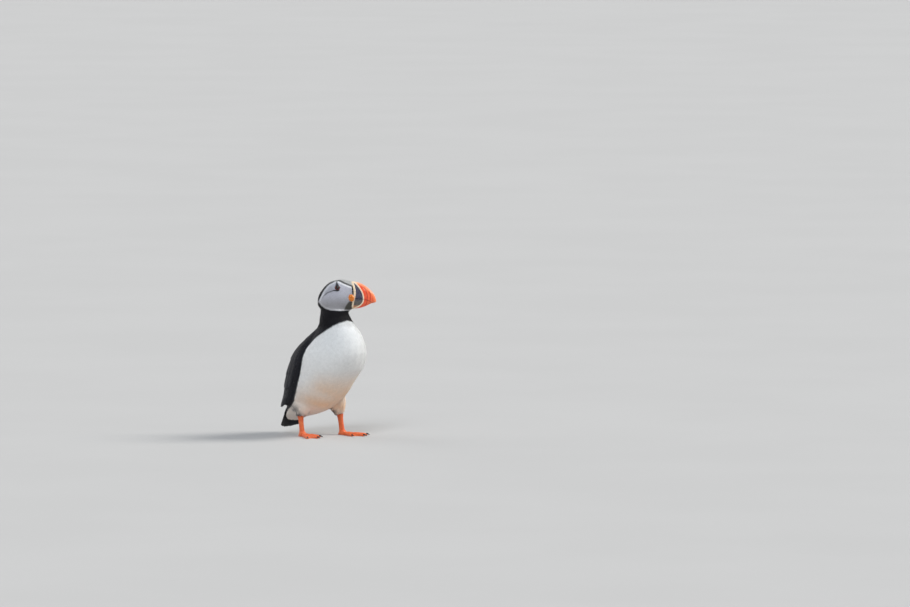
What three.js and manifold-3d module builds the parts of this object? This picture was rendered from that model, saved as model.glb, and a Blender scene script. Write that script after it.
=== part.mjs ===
// Atlantic puffin, standing upright with its head turned to its left.
// Millimetres, +Z up. The bird faces -Y and its left side is +X. The floor is z = 0.
import * as THREE from "three";
import { mergeVertices } from "three/addons/utils/BufferGeometryUtils.js";
import Module from "manifold-3d";

const wasm = await Module();
wasm.setup();

// ---------------------------------------------------------------- driving dimensions
const GAP = 0.3; // clearance between neighbouring pieces
const HEAD_TURN = 45; // degrees the head is turned to the bird's left
const HEAD_CENTRE = { left: 0.8, forward: 21.2, up: 201 };

// Head and bill, in the head's own frame: x runs towards the bill's tip and z up.
// An outline is a smooth line through [x, z] points of the head's middle plane.
const HEAD_BACK = [-26, -10];
const HEAD_FRONT = 25;
const CROWN = [[-24.5, 0], [-19, 9.5], [-9, 19.5], [5, 24], [16, 23]];
const JAW = [[-24, -16], [-17, -21.5], [-8, -23.5], [6, -24], [18, -22.6]];
const HEAD_HALF_WIDTHS = [0, 10, 14.5, 17.5, 18.5, 14, 8.8];
const HEAD_SECTION = { square: 0.85, narrowTop: 0.1 };

const CULMEN = [[24, 20], [32, 19], [40, 15.2], [48, 9.2], [54.5, 1.5], [57.6, -7.5]];
const GONYS = [[24, -18.6], [32, -18.9], [40, -17.4], [46, -15], [52, -11.8], [57, -9.6]];
const MOUTH = [[22, -3], [38, -4.6], [48, -7.2], [53.5, -11.2], [56, -16]];
const BILL_HALF_WIDTHS = [8.6, 8, 6.9, 5.4, 3.7, 1.5];
const BILL_SECTION = { square: 0.8, narrowTop: 0.16 };
const CERE = { front: 26.6, bow: 2.6, top: 22, bottom: -8 }; // pale rim of the bill's base

const EYE = { radius: 4.7, forward: 2.9, up: 12, sunk: 3.4 }; // sunk: centre under the cheek
const GAPE = { radius: 4.5, halfThick: 2.2, forward: 22, up: -2.6, sunk: 0.6 };

// Torso rings. Each hangs between a point of the back and one of the breast or belly.
const TORSO = [
  { back: [6, 200], front: [34, 200], halfWidth: 13 },
  { back: [-0.5, 186], front: [39, 184], halfWidth: 18.5 },
  { back: [-1.5, 172], front: [43, 171], halfWidth: 21 },
  { back: [-3, 161], front: [51, 162], halfWidth: 24 },
  { back: [-9, 150], front: [60, 152], halfWidth: 29.5 },
  { back: [-23, 135], front: [66.5, 137], halfWidth: 38 },
  { back: [-37, 119], front: [67.5, 118], halfWidth: 46 },
  { back: [-45, 102], front: [59, 98], halfWidth: 48.5 },
  { back: [-50, 86], front: [43, 80], halfWidth: 47 },
  { back: [-54, 71], front: [27, 59], halfWidth: 44 },
  { back: [-58, 57], front: [5, 40], halfWidth: 37 },
  { back: [-62, 45], front: [-21, 29.5], halfWidth: 29 },
  { back: [-66, 34], front: [-46, 23.5], halfWidth: 20 },
  { back: [-69, 21], front: [-63, 16.5], halfWidth: 14 },
];
const NECK_RING = 3.1; // where, in rings from the top, the neck ends and the trunk starts

// The folded wing follows this outer shell, ring by ring, from shoulder to tip.
const WING_SHELL = [
  { back: [-4, 158], front: [55, 159], halfWidth: 25, lead: -27, trail: -46, thick: 3.5 },
  { back: [-16, 146], front: [66, 147], halfWidth: 35, lead: -26, trail: -64, thick: 6 },
  { back: [-35, 130], front: [70, 130], halfWidth: 49, lead: -20, trail: -74, thick: 8 },
  { back: [-47, 113], front: [67, 110], halfWidth: 54.5, lead: -11, trail: -80, thick: 8 },
  { back: [-54, 97], front: [55, 92], halfWidth: 54.5, lead: -3, trail: -84, thick: 8 },
  { back: [-60, 81], front: [38, 74], halfWidth: 52, lead: 0, trail: -85, thick: 7.5 },
  { back: [-64.5, 66], front: [19, 54], halfWidth: 47, lead: 0, trail: -84, thick: 6.5 },
  { back: [-68, 54], front: [-2, 40], halfWidth: 41, lead: 2, trail: -79, thick: 5 },
  { back: [-71, 43], front: [-22, 30], halfWidth: 35, lead: 2, trail: -70, thick: 3.5 },
  { back: [-73.5, 34], front: [-36, 25], halfWidth: 30, lead: -32, trail: -60, thick: 2 },
];
const WING_EDGE_DROP = 4.5; // how far the wing's edges curl in towards the body

const TAIL = { base: [-58, 57], tip: [-76.5, 7.5], baseHalf: 14, tipHalf: 22.5, roof: 4.5 };
const TAIL_THICK = { base: 6, tip: 1.6 };

// Legs, seen from above: ankle places, and how far each foot turns outwards.
const LEGS = {
  right: { ankle: [-26, -19], hip: [-21, -18], turnOut: -8 },
  left: { ankle: [30, 5], hip: [21, -6], turnOut: 8 },
};
const THIGH = { top: 66, bottom: 22, radii: [13, 15.5, 16, 13.5, 9.4, 5.4] };
const TARSUS = { top: 30, slope: 5, halfWidth: 2.9, halfDepth: 4 };
const TOES = [
  { name: "inner", angle: 24, length: 29, width: 4.2, claw: 7.5 },
  { name: "middle", angle: -1, length: 38, width: 4.8, claw: 8.5 },
  { name: "outer", angle: -24, length: 36, width: 4.2, claw: 6.5 },
];
const TOE = { height: 4.8, tipShare: 0.74, swell: 0.08 }; // swell: at the toe's joints
const CLAW = { sweep: 62, rootUp: 2.3, tipUp: 0.75, rootRadius: 1.55, overlap: 1.5 };
const WEB = { thick: 1.5, shortBy: 3, dip: 0.84 }; // dip: how far its rim curves in
const ANKLE = { halfWidth: 5.2, halfLength: 5.6, halfHeight: 5.4, up: 3 };
const HEEL = 6; // how far the sole reaches behind the ankle

const COLOUR = {
  black: 0x24242a,
  white: 0xe9ebee,
  grey: 0xa3a4ad,
  red: 0xd9512c,
  orange: 0xe0702a,
  cream: 0xe6d6bd,
  yellow: 0xe39a2c,
  eye: 0x2a1612,
  claw: 0x2b2623,
};

// ---------------------------------------------------------------- helpers
const radians = THREE.MathUtils.degToRad;
const lerp = THREE.MathUtils.lerp;

/** A point from how far it is to the left, forward and up. */
function spot(left, forward, up) {
  return new THREE.Vector3(left, -forward, up);
}

/** A smooth value running through the given values as t goes from 0 to 1. */
function through(values) {
  const line = new THREE.SplineCurve(values.map((value, i) => new THREE.Vector2(i, value)));
  return (t) => line.getPoint(t).y;
}

/** A smooth flat line through the given [along, up] points. */
function outline(points) {
  return new THREE.SplineCurve(points.map(([along, up]) => new THREE.Vector2(along, up)));
}

/** Six times the volume inside an indexed geometry, negative if its faces point inwards. */
function signedVolume(geometry) {
  const at = geometry.attributes.position;
  const corner = [new THREE.Vector3(), new THREE.Vector3(), new THREE.Vector3()];
  let volume = 0;
  for (let i = 0; i < geometry.index.count; i += 3) {
    corner.forEach((point, k) => point.fromBufferAttribute(at, geometry.index.getX(i + k)));
    volume += corner[0].dot(corner[1].cross(corner[2]));
  }
  return volume;
}

/** Leaves only positions, merges shared corners and turns the faces outwards. */
function closed(geometry) {
  const bare = geometry.clone();
  bare.deleteAttribute("normal");
  bare.deleteAttribute("uv");
  const shared = mergeVertices(bare, 1e-4);
  if (signedVolume(shared) < 0) {
    shared.index.array.reverse();
  }
  return shared;
}

/** A closed round form. place(t, angle, reach) puts each point: reach is 0 on the axis. */
function roundForm(around, along, place) {
  const geometry = new THREE.CylinderGeometry(1, 1, 1, around, along);
  const at = geometry.attributes.position;
  for (let i = 0; i < at.count; i += 1) {
    const reach = Math.hypot(at.getX(i), at.getZ(i));
    const point = place(0.5 - at.getY(i), Math.atan2(at.getZ(i), at.getX(i)), reach);
    at.setXYZ(i, point.x, point.y, point.z);
  }
  return closed(geometry);
}

/** A closed slab. place(s, c, side) puts each point, and side is 0 under and 1 on top. */
function slabForm(along, across, place) {
  const geometry = new THREE.BoxGeometry(1, 1, 1, along, across, 1);
  const at = geometry.attributes.position;
  for (let i = 0; i < at.count; i += 1) {
    const point = place(at.getX(i) + 0.5, at.getY(i) + 0.5, at.getZ(i) + 0.5);
    at.setXYZ(i, point.x, point.y, point.z);
  }
  return closed(geometry);
}

/** The manifold solid of a closed geometry. */
function solid(geometry) {
  const bare = closed(geometry);
  return new wasm.Manifold(new wasm.Mesh({
    numProp: 3,
    vertProperties: new Float32Array(bare.attributes.position.array),
    triVerts: new Uint32Array(bare.index.array),
  }));
}

/** A named mesh, of a manifold solid or of a geometry. */
function piece(name, shape, colour, roughness) {
  let geometry = shape;
  if (!shape.isBufferGeometry) {
    const mesh = shape.getMesh();
    geometry = new THREE.BufferGeometry();
    geometry.setAttribute("position", new THREE.BufferAttribute(mesh.vertProperties, 3));
    geometry.setIndex(new THREE.BufferAttribute(mesh.triVerts, 1));
  }
  const material = new THREE.MeshStandardMaterial({ color: colour, roughness, metalness: 0 });
  const mesh = new THREE.Mesh(geometry, material);
  mesh.name = name;
  return mesh;
}

/** An outline of the head's middle plane, drawn out to both sides. */
function sideways(points) {
  const halfWidth = 20;
  const shape = new THREE.Shape(points.map(([x, z]) => new THREE.Vector2(x, z)));
  const geometry = new THREE.ExtrudeGeometry(shape, { depth: 2 * halfWidth, bevelEnabled: false });
  geometry.rotateX(Math.PI / 2);
  geometry.translate(0, halfWidth, 0);
  return geometry;
}

// ---------------------------------------------------------------- torso
/** Smooth lines through one of the rings' measures. */
function ringLines(rings) {
  const line = (key) => new THREE.SplineCurve(rings.map((ring) => new THREE.Vector2(...ring[key])));
  return {
    back: line("back"),
    front: line("front"),
    halfWidth: through(rings.map((ring) => ring.halfWidth)),
  };
}

/** A point of a ringed body: angle 0 is its left side, and 90 degrees its front. */
function ringPoint(lines, t, angle, reach, grow) {
  const back = lines.back.getPoint(t);
  const front = lines.front.getPoint(t);
  const middle = back.clone().add(front).multiplyScalar(0.5);
  const half = front.clone().sub(middle);
  const deep = reach * Math.sin(angle) * (1 + grow / half.length());
  const wide = reach * Math.cos(angle) * (lines.halfWidth(t) + grow);
  return spot(wide, middle.x + half.x * deep, middle.y + half.y * deep);
}

function torsoForm(grow) {
  const lines = ringLines(TORSO);
  return solid(roundForm(24, 22, (t, angle, reach) => ringPoint(lines, t, angle, reach, grow)));
}

/** A wide block above or below the neck's end, cut square to the spine there. */
function neckSide(above) {
  const lines = ringLines(TORSO);
  const t = NECK_RING / (TORSO.length - 1);
  const slope = lines.front.getPoint(t).sub(lines.back.getPoint(t)).normalize();
  const middle = lines.front.getPoint(t).add(lines.back.getPoint(t)).multiplyScalar(0.5);
  const size = 2 * HEAD_CENTRE.up;
  const block = new THREE.BoxGeometry(size, size, size);
  block.translate(0, 0, (above ? 1 : -1) * (size + GAP) / 2);
  block.rotateX(-Math.atan2(slope.y, slope.x));
  block.translate(0, -middle.x, middle.y);
  return solid(block);
}

// ---------------------------------------------------------------- head and bill
/** A form that hangs between a top and a bottom line of the head's middle plane. */
function profileForm(faces, top, bottom, halfWidths, section, grow) {
  const widthAt = through(halfWidths);
  return roundForm(faces.around, faces.along, (t, angle, reach) => {
    const high = top.getPoint(t);
    const low = bottom.getPoint(t);
    const middle = high.clone().add(low).multiplyScalar(0.5);
    const half = high.clone().sub(middle);
    const rise = reach * Math.sin(angle) * (1 + grow / Math.max(half.length(), 1));
    const flat = Math.sign(Math.cos(angle)) * Math.abs(Math.cos(angle)) ** section.square;
    const narrow = 1 - section.narrowTop * Math.sin(angle);
    const wide = reach * flat * narrow * (widthAt(t) + grow);
    return new THREE.Vector3(middle.x + half.x * rise, wide, middle.y + half.y * rise);
  });
}

function headForm(grow) {
  const back = [HEAD_BACK[0] - grow, HEAD_BACK[1]];
  const front = HEAD_FRONT + grow;
  const top = outline([back, ...CROWN, [front, CULMEN[0][1]]]);
  const bottom = outline([back, ...JAW, [front, GONYS[0][1]]]);
  const faces = { around: 20, along: 14 };
  return solid(profileForm(faces, top, bottom, HEAD_HALF_WIDTHS, HEAD_SECTION, grow));
}

function billForm() {
  const faces = { around: 14, along: 10 };
  const top = outline(CULMEN);
  const bottom = outline(GONYS);
  return solid(profileForm(faces, top, bottom, BILL_HALF_WIDTHS, BILL_SECTION, 0));
}

/** A block holding all of the bill that is above, or all that is below, the mouth line. */
function jawBlock(upper) {
  const far = 90;
  const shift = upper ? GAP / 2 : -GAP / 2;
  const line = outline(MOUTH).getPoints(8).map((point) => [point.x + shift, point.y + shift]);
  const start = line[0][0];
  const end = line.at(-1)[0];
  const below = [[end, -far], [start, -far]];
  const above = [[end, -far], [far, -far], [far, far], [start, far]];
  return solid(sideways([...line, ...(upper ? above : below)]));
}

/** The block that holds the cere, with a forward edge that bows. */
function cereBlock(grow) {
  const steps = 6;
  const edge = [];
  for (let i = 0; i <= steps; i += 1) {
    const bow = CERE.bow * Math.sin((Math.PI * i) / steps) ** 0.8;
    edge.push([CERE.front + bow + grow, lerp(CERE.bottom, CERE.top, i / steps)]);
  }
  return solid(sideways([...edge, [0, CERE.top], [0, CERE.bottom]]));
}

/** How far the head's side stands from the middle plane at a place of the profile. */
function cheekWidth(head, forward, up) {
  const probe = new THREE.BoxGeometry(0.5, 80, 0.5);
  probe.translate(forward, 0, up);
  return head.intersect(solid(probe)).boundingBox().max[1];
}

function eyeGeometry(grow) {
  return closed(new THREE.SphereGeometry(EYE.radius + grow, 12, 8));
}

/** The fleshy rosette at one corner of the mouth. */
function gapeGeometry(side, cheek, grow) {
  const geometry = new THREE.SphereGeometry(1, 12, 6);
  geometry.scale(GAPE.radius + grow, GAPE.halfThick + grow, GAPE.radius + grow);
  geometry.translate(GAPE.forward, side * cheek, GAPE.up);
  return closed(geometry);
}

/** The head, eyes, gape rosettes and bill, in a group turned on the neck. */
function buildHead() {
  const group = new THREE.Group();
  const bill = billForm().subtract(headForm(GAP));
  let head = headForm(0);
  let upper = bill.intersect(jawBlock(true));
  let lower = bill.intersect(jawBlock(false));
  const eyeSide = cheekWidth(head, EYE.forward, EYE.up) - EYE.sunk;
  const gapeSide = cheekWidth(head, GAPE.forward, GAPE.up) - GAPE.sunk;
  for (const [side, name] of [[1, "left"], [-1, "right"]]) {
    const centre = [EYE.forward, side * eyeSide, EYE.up];
    const socket = solid(eyeGeometry(GAP).translate(...centre));
    const bed = solid(gapeGeometry(side, gapeSide, GAP));
    head = head.subtract(socket).subtract(bed);
    upper = upper.subtract(bed);
    lower = lower.subtract(bed);
    const eye = piece(`eye_${name}`, eyeGeometry(0), COLOUR.eye, 0.1);
    eye.position.set(...centre);
    group.add(eye);
    group.add(piece(`gape_${name}`, gapeGeometry(side, gapeSide, 0), COLOUR.yellow, 0.55));
  }
  const cere = upper.intersect(cereBlock(0));
  group.add(piece("head", head, COLOUR.grey, 0.85));
  group.add(piece("cere", cere, COLOUR.cream, 0.5));
  group.add(piece("bill_upper", upper.subtract(cereBlock(GAP)), COLOUR.red, 0.35));
  group.add(piece("bill_lower", lower, COLOUR.red, 0.35));
  group.rotation.z = radians(HEAD_TURN - 90);
  group.position.copy(spot(HEAD_CENTRE.left, HEAD_CENTRE.forward, HEAD_CENTRE.up));
  group.updateMatrixWorld(true);
  return group;
}

// ---------------------------------------------------------------- wings and tail
function wingForm(side) {
  const lines = ringLines(WING_SHELL);
  const lead = through(WING_SHELL.map((ring) => ring.lead));
  const trail = through(WING_SHELL.map((ring) => ring.trail));
  const thick = through(WING_SHELL.map((ring) => ring.thick));
  return solid(slabForm(15, 7, (s, c, face) => {
    const angle = radians(lerp(lead(s), trail(s), c));
    const edge = Math.sin(Math.PI * c) ** 0.45;
    const inset = face > 0.5 ? WING_EDGE_DROP * (1 - edge) : thick(s);
    const point = ringPoint(lines, s, angle, 1, -inset);
    point.x *= side;
    return point;
  }));
}

function tailForm() {
  const base = new THREE.Vector2(...TAIL.base);
  const tip = new THREE.Vector2(...TAIL.tip);
  const across = tip.clone().sub(base).normalize().rotateAround(new THREE.Vector2(), -Math.PI / 2);
  return solid(slabForm(7, 8, (s, c, face) => {
    const span = 2 * c - 1;
    const rounded = 1 - 0.06 * s * Math.abs(span) ** 4;
    const at = base.clone().lerp(tip, s * rounded);
    const thick = lerp(TAIL_THICK.base, TAIL_THICK.tip, s) * (1 - 0.45 * span * span);
    const roof = -TAIL.roof * span * span;
    const rise = roof + (face - 0.5) * thick;
    const half = lerp(TAIL.baseHalf, TAIL.tipHalf, s ** 0.8);
    return spot(half * span, at.x + across.x * rise, at.y + across.y * rise);
  }));
}

// ---------------------------------------------------------------- legs
function thighForm(leg) {
  const start = spot(leg.hip[0], leg.hip[1], THIGH.top);
  const end = spot(leg.ankle[0], leg.ankle[1] - TARSUS.slope, THIGH.bottom);
  const radiusAt = through(THIGH.radii);
  return roundForm(14, 8, (t, angle, reach) => {
    const radius = radiusAt(t);
    const centre = start.clone().lerp(end, t);
    centre.x += reach * radius * 0.9 * Math.cos(angle);
    centre.y += reach * radius * Math.sin(angle);
    return centre;
  });
}

function tarsusForm(grow) {
  return roundForm(8, 5, (t, angle, reach) => {
    const waist = 1 + 0.45 * Math.abs(2 * t - 1) ** 3;
    const up = lerp(TARSUS.top, 1.6, t);
    const back = (TARSUS.slope * up) / TARSUS.top;
    return spot(
      reach * Math.cos(angle) * (TARSUS.halfWidth * waist + grow),
      reach * Math.sin(angle) * (TARSUS.halfDepth * waist + grow) - back,
      up,
    );
  });
}

/** A place on the ground along a line that leaves the ankle at an angle. */
function alongToe(angle, forward, across, up) {
  return spot(
    forward * Math.sin(angle) + across * Math.cos(angle),
    forward * Math.cos(angle) - across * Math.sin(angle),
    up,
  );
}

/** One toe, round above and flat below, with a swelling at each of its joints. */
function toeForm(toe, mirror) {
  const turn = radians(toe.angle * mirror);
  return roundForm(8, 8, (t, angle, reach) => {
    const swell = 1 + TOE.swell * Math.cos(6 * Math.PI * t);
    const ends = Math.sin(Math.PI * Math.min(0.5, 0.2 + 3 * Math.min(t, 1 - t)));
    const wide = 0.5 * toe.width * swell * ends;
    const high = TOE.height * lerp(1, TOE.tipShare, t) * swell * ends;
    const rise = Math.max(0, 0.32 + 0.68 * Math.sin(angle) * reach);
    return alongToe(turn, lerp(-HEEL, toe.length, t), reach * Math.cos(angle) * wide, high * rise);
  });
}

/** The web: a thin plate whose rim curves in between the toe tips. */
function webForm(mirror) {
  const tips = TOES.map((toe) => {
    const place = alongToe(radians(toe.angle * mirror), toe.length - WEB.shortBy, 0, 0);
    return new THREE.Vector2(place.x, place.y);
  });
  const heel = new THREE.Vector2(0, HEEL - 2);
  const shape = new THREE.Shape([heel, tips[0]]);
  for (const [i, tip] of tips.slice(1).entries()) {
    const dip = tips[i].clone().add(tip).multiplyScalar(0.5 * WEB.dip);
    shape.quadraticCurveTo(dip.x, dip.y, tip.x, tip.y);
  }
  shape.closePath();
  const look = { depth: WEB.thick, bevelEnabled: false, curveSegments: 4 };
  return new THREE.ExtrudeGeometry(shape, look);
}

/** A curved claw at the end of a toe, clear of the floor. */
function clawForm(toe) {
  const sweep = radians(CLAW.sweep);
  const ray = toe.claw / sweep;
  const fall = (CLAW.rootUp - CLAW.tipUp) / (1 - Math.cos(sweep));
  return roundForm(7, 4, (t, angle, reach) => {
    const bend = sweep * t;
    const radius = reach * CLAW.rootRadius * lerp(1, 0.14, t);
    return spot(
      0.75 * radius * Math.cos(angle),
      ray * Math.sin(bend) + radius * Math.sin(angle) * Math.sin(bend),
      CLAW.rootUp - fall * (1 - Math.cos(bend)) + radius * Math.sin(angle) * Math.cos(bend),
    );
  });
}

/** Tarsus, foot and claws of one leg, in a group at its ankle. */
function buildFoot(name, leg) {
  const mirror = name === "left" ? -1 : 1;
  const group = new THREE.Group();
  const knuckle = new THREE.SphereGeometry(1, 10, 6);
  knuckle.scale(ANKLE.halfWidth, ANKLE.halfLength, ANKLE.halfHeight);
  knuckle.translate(0, 0, ANKLE.up);
  let foot = solid(webForm(mirror)).add(solid(knuckle));
  for (const toe of TOES) {
    foot = foot.add(solid(toeForm(toe, mirror)));
  }
  for (const toe of TOES) {
    const turn = radians(toe.angle * mirror);
    const claw = piece(`claw_${toe.name}_${name}`, clawForm(toe), COLOUR.claw, 0.4);
    claw.position.copy(alongToe(turn, toe.length - CLAW.overlap, 0, 0));
    claw.rotation.z = turn;
    claw.updateMatrix();
    const bed = claw.geometry.clone().scale(1.25, 1.05, 1.25).translate(0, GAP, -2 * GAP);
    foot = foot.subtract(solid(bed.applyMatrix4(claw.matrix)));
    group.add(claw);
  }
  const floor = new THREE.BoxGeometry(90, 120, 20).translate(0, 0, -10);
  foot = foot.subtract(solid(floor)).subtract(solid(tarsusForm(GAP)));
  group.add(piece(`tarsus_${name}`, tarsusForm(0), COLOUR.orange, 0.55));
  group.add(piece(`foot_${name}`, foot, COLOUR.orange, 0.6));
  group.position.copy(spot(leg.ankle[0], leg.ankle[1], 0));
  group.rotation.z = radians(leg.turnOut);
  group.updateMatrixWorld(true);
  return group;
}

// ---------------------------------------------------------------- the whole bird
function buildPuffin() {
  const bird = new THREE.Group();
  const headGroup = buildHead();
  const headGrown = headForm(GAP).transform(headGroup.matrixWorld.elements);
  const torso = torsoForm(0);
  const torsoGrown = torsoForm(GAP);
  let trunk = torso.intersect(neckSide(false));
  const tail = tailForm().subtract(torsoGrown);
  bird.add(headGroup);
  bird.add(piece("neck", torso.intersect(neckSide(true)).subtract(headGrown), COLOUR.black, 0.9));
  bird.add(piece("tail", tail, COLOUR.black, 0.8));
  for (const [name, side] of [["left", 1], ["right", -1]]) {
    const leg = LEGS[name];
    const footGroup = buildFoot(name, leg);
    const tarsusGrown = solid(tarsusForm(GAP)).transform(footGroup.matrixWorld.elements);
    const thigh = solid(thighForm(leg)).subtract(torsoGrown).subtract(tarsusGrown);
    const wing = wingForm(side).subtract(torsoGrown);
    trunk = trunk.subtract(tarsusGrown);
    bird.add(footGroup);
    bird.add(piece(`thigh_${name}`, thigh, COLOUR.white, 0.9));
    bird.add(piece(`wing_${name}`, wing, COLOUR.black, 0.8));
  }
  bird.add(piece("trunk", trunk, COLOUR.white, 0.9));
  return bird;
}

/** Stands the bird on the floor with its box centred on the origin. */
function centred(bird) {
  const group = new THREE.Group();
  const box = new THREE.Box3().setFromObject(bird, true);
  const middle = box.getCenter(new THREE.Vector3());
  bird.position.set(-middle.x, -middle.y, -box.min.z);
  group.add(bird);
  return group;
}

export default centred(buildPuffin());
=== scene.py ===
"""Atlantic puffin, life size: one skin under a coat of feathers, with bill, eyes, feet and claws.

Everything is in metres in the frame's own axes: +Z is up, the bird faces -Y and its left is +X.
Head places are worked out in the head's own axes: ahead (towards the bill's tip), side (the
bird's left) and up. Feather places are worked out along the spine and round it.
"""
import math

import bpy
import numpy as np
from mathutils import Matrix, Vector
from mathutils.bvhtree import BVHTree
from mathutils.kdtree import KDTree


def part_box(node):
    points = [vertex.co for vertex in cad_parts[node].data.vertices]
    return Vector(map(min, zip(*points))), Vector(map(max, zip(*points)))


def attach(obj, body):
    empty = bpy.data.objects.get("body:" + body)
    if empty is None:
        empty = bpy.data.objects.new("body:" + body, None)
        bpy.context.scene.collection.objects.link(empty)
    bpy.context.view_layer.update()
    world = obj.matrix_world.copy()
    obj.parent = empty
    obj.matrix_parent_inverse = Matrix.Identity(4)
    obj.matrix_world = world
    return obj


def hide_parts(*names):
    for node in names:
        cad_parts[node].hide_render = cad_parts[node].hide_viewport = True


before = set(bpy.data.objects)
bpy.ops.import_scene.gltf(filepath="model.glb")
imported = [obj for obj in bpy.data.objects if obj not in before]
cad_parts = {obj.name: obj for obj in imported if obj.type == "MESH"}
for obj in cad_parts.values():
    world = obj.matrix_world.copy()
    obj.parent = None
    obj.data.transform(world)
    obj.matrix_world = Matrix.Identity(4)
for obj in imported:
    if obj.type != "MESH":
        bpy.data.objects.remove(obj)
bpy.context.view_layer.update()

bl_info = {
    "name": "Atlantic Puffin",
    "version": (1, 0, 0),
    "blender": (4, 5, 0),
    "location": "View3D > Sidebar > Puffin",
    "description": "Builds the skin, feathers, bill, eyes and feet of a life-size puffin",
    "category": "Add Mesh",
}

MM = 0.001
SIDES = {"left": 1, "right": -1}
TOES = ("inner", "middle", "outer")
FLESH = ("head", "neck", "trunk", "tail", "wing_left", "wing_right", "thigh_left", "thigh_right")

# ---------------------------------------------------------------- places, in millimetres
EYE_IN_HEAD = (2.9, 12.0)  # ahead of and above the head's middle
HEAD_FROM_FEET = (0.8, 21.2, 201.0)  # the head's middle: left, forward and up
# The spine from the crown to the tail, as (up, forward).
SPINE = [
    (214, 19), (200, 20), (186, 20), (172, 21), (161, 24), (151, 25.5), (136, 22), (118, 15),
    (100, 7), (83, -3.5), (65, -13.5), (48.5, -26.5), (37, -41.5), (29, -56), (19, -66),
]
SPINE_BATCH = 20000  # how many points are measured from it at one time


# ---------------------------------------------------------------- small maths
def unit(vectors):
    """Vectors of length one."""
    length = np.linalg.norm(vectors, axis=-1, keepdims=True)
    return vectors / np.maximum(length, 1e-12)


def ease(low, high, value):
    """0 below low, 1 above high, and a smooth step between."""
    share = np.clip((value - low) / (high - low), 0, 1)
    return share * share * (3 - 2 * share)


def mix(first, second, share):
    """A blend of two values; share is 0 for the first."""
    return first * (1 - share) + second * share


def tint(first, second, share):
    """A blend of two colours, or lists of colours, for each of a list of shares."""
    share = np.asarray(share)[:, None]
    return np.asarray(first) * (1 - share) + np.asarray(second) * share


def all_round(count):
    """Evenly spaced angles, once all the way round."""
    return np.linspace(0, 2 * math.pi, count + 1)[:-1]


def square_to(axis):
    """Two directions square to an axis and to each other."""
    first = unit(np.cross(axis, [0.0, 0.0, 1.0]))
    return first, np.cross(axis, first)


def curve_at(points, share):
    """Places on a smooth line through the given points, for shares of it from 0 to 1."""
    points = np.asarray(points, float).reshape(len(points), -1)
    padded = np.vstack([2 * points[0] - points[1], points, 2 * points[-1] - points[-2]])
    at = np.asarray(share, float) * (len(points) - 1)
    k = np.clip(at.astype(int), 0, len(points) - 2)
    t = (at - k)[:, None]
    a, b, c, d = padded[k], padded[k + 1], padded[k + 2], padded[k + 3]
    return 0.5 * (
        2 * b + (c - a) * t + (2 * a - 5 * b + 4 * c - d) * t**2 + (3 * b - a - 3 * c + d) * t**3
    )


def curve_through(points, count):
    """Evenly numbered places on a smooth line through the given points."""
    return curve_at(points, np.linspace(0, 1, count))


def inside_distance(outline, places):
    """How far each flat place is inside a closed outline, and less than zero outside it."""
    start = np.asarray(outline, float)
    edge = np.roll(start, -1, axis=0) - start
    nearest = np.full(len(places), np.inf)
    inside = np.zeros(len(places), bool)
    x, y = places[:, 0], places[:, 1]
    for (sx, sy), (ex, ey) in zip(start, edge):
        along = np.clip(((x - sx) * ex + (y - sy) * ey) / (ex * ex + ey * ey), 0, 1)
        nearest = np.minimum(nearest, np.hypot(x - sx - along * ex, y - sy - along * ey))
        crosses = (sy > y) != (sy + ey > y)
        with np.errstate(divide="ignore", invalid="ignore"):
            inside ^= crosses & (x < sx + (y - sy) * ex / (ey if ey else 1e-12))
    return np.where(inside, nearest, -nearest)


def line_distance(line, places):
    """How far each place is from an open line of points."""
    line = np.asarray(line, float)
    nearest = np.full(len(places), np.inf)
    for start, end in zip(line[:-1], line[1:]):
        edge = end - start
        along = np.clip(((places - start) @ edge) / (edge @ edge), 0, 1)
        gap = np.linalg.norm(places - start - along[:, None] * edge, axis=1)
        nearest = np.minimum(nearest, gap)
    return nearest


# ---------------------------------------------------------------- the frame's own axes
def middle_of(node):
    """The middle of a node's box."""
    low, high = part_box(node)
    return (np.array(low) + np.array(high)) / 2


class Axes:
    """An origin and three directions, for going between the frame and a part's own millimetres."""

    def __init__(self, origin, directions):
        self.origin = np.asarray(origin, float)
        self.directions = np.asarray(directions, float)

    def inside(self, points):
        """The part's own millimetres of points of the frame."""
        return (np.asarray(points) - self.origin) @ self.directions.T / MM

    def outside(self, places):
        """Points of the frame from places in the part's own millimetres."""
        return np.asarray(places, float) @ self.directions * MM + self.origin

    def turned(self, vectors):
        """The part's own directions as directions of the frame."""
        return np.asarray(vectors, float) @ self.directions


def head_axes():
    """The head's axes, found from the two eyes."""
    left, right = middle_of("eye_left"), middle_of("eye_right")
    side = unit(left - right)
    up = np.array([0.0, 0.0, 1.0])
    ahead = np.cross(side, up)
    origin = (left + right) / 2 - (ahead * EYE_IN_HEAD[0] + up * EYE_IN_HEAD[1]) * MM
    return Axes(origin, [ahead, side, up])


def bird_axes(head):
    """The whole bird's axes: left, forward and up from the floor under its breast."""
    left, forward, up = HEAD_FROM_FEET
    return Axes(head.origin - np.array([left, -forward, up]) * MM, [[1, 0, 0], [0, -1, 0], [0, 0, 1]])


HEAD = head_axes()
BIRD = bird_axes(HEAD)


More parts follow.
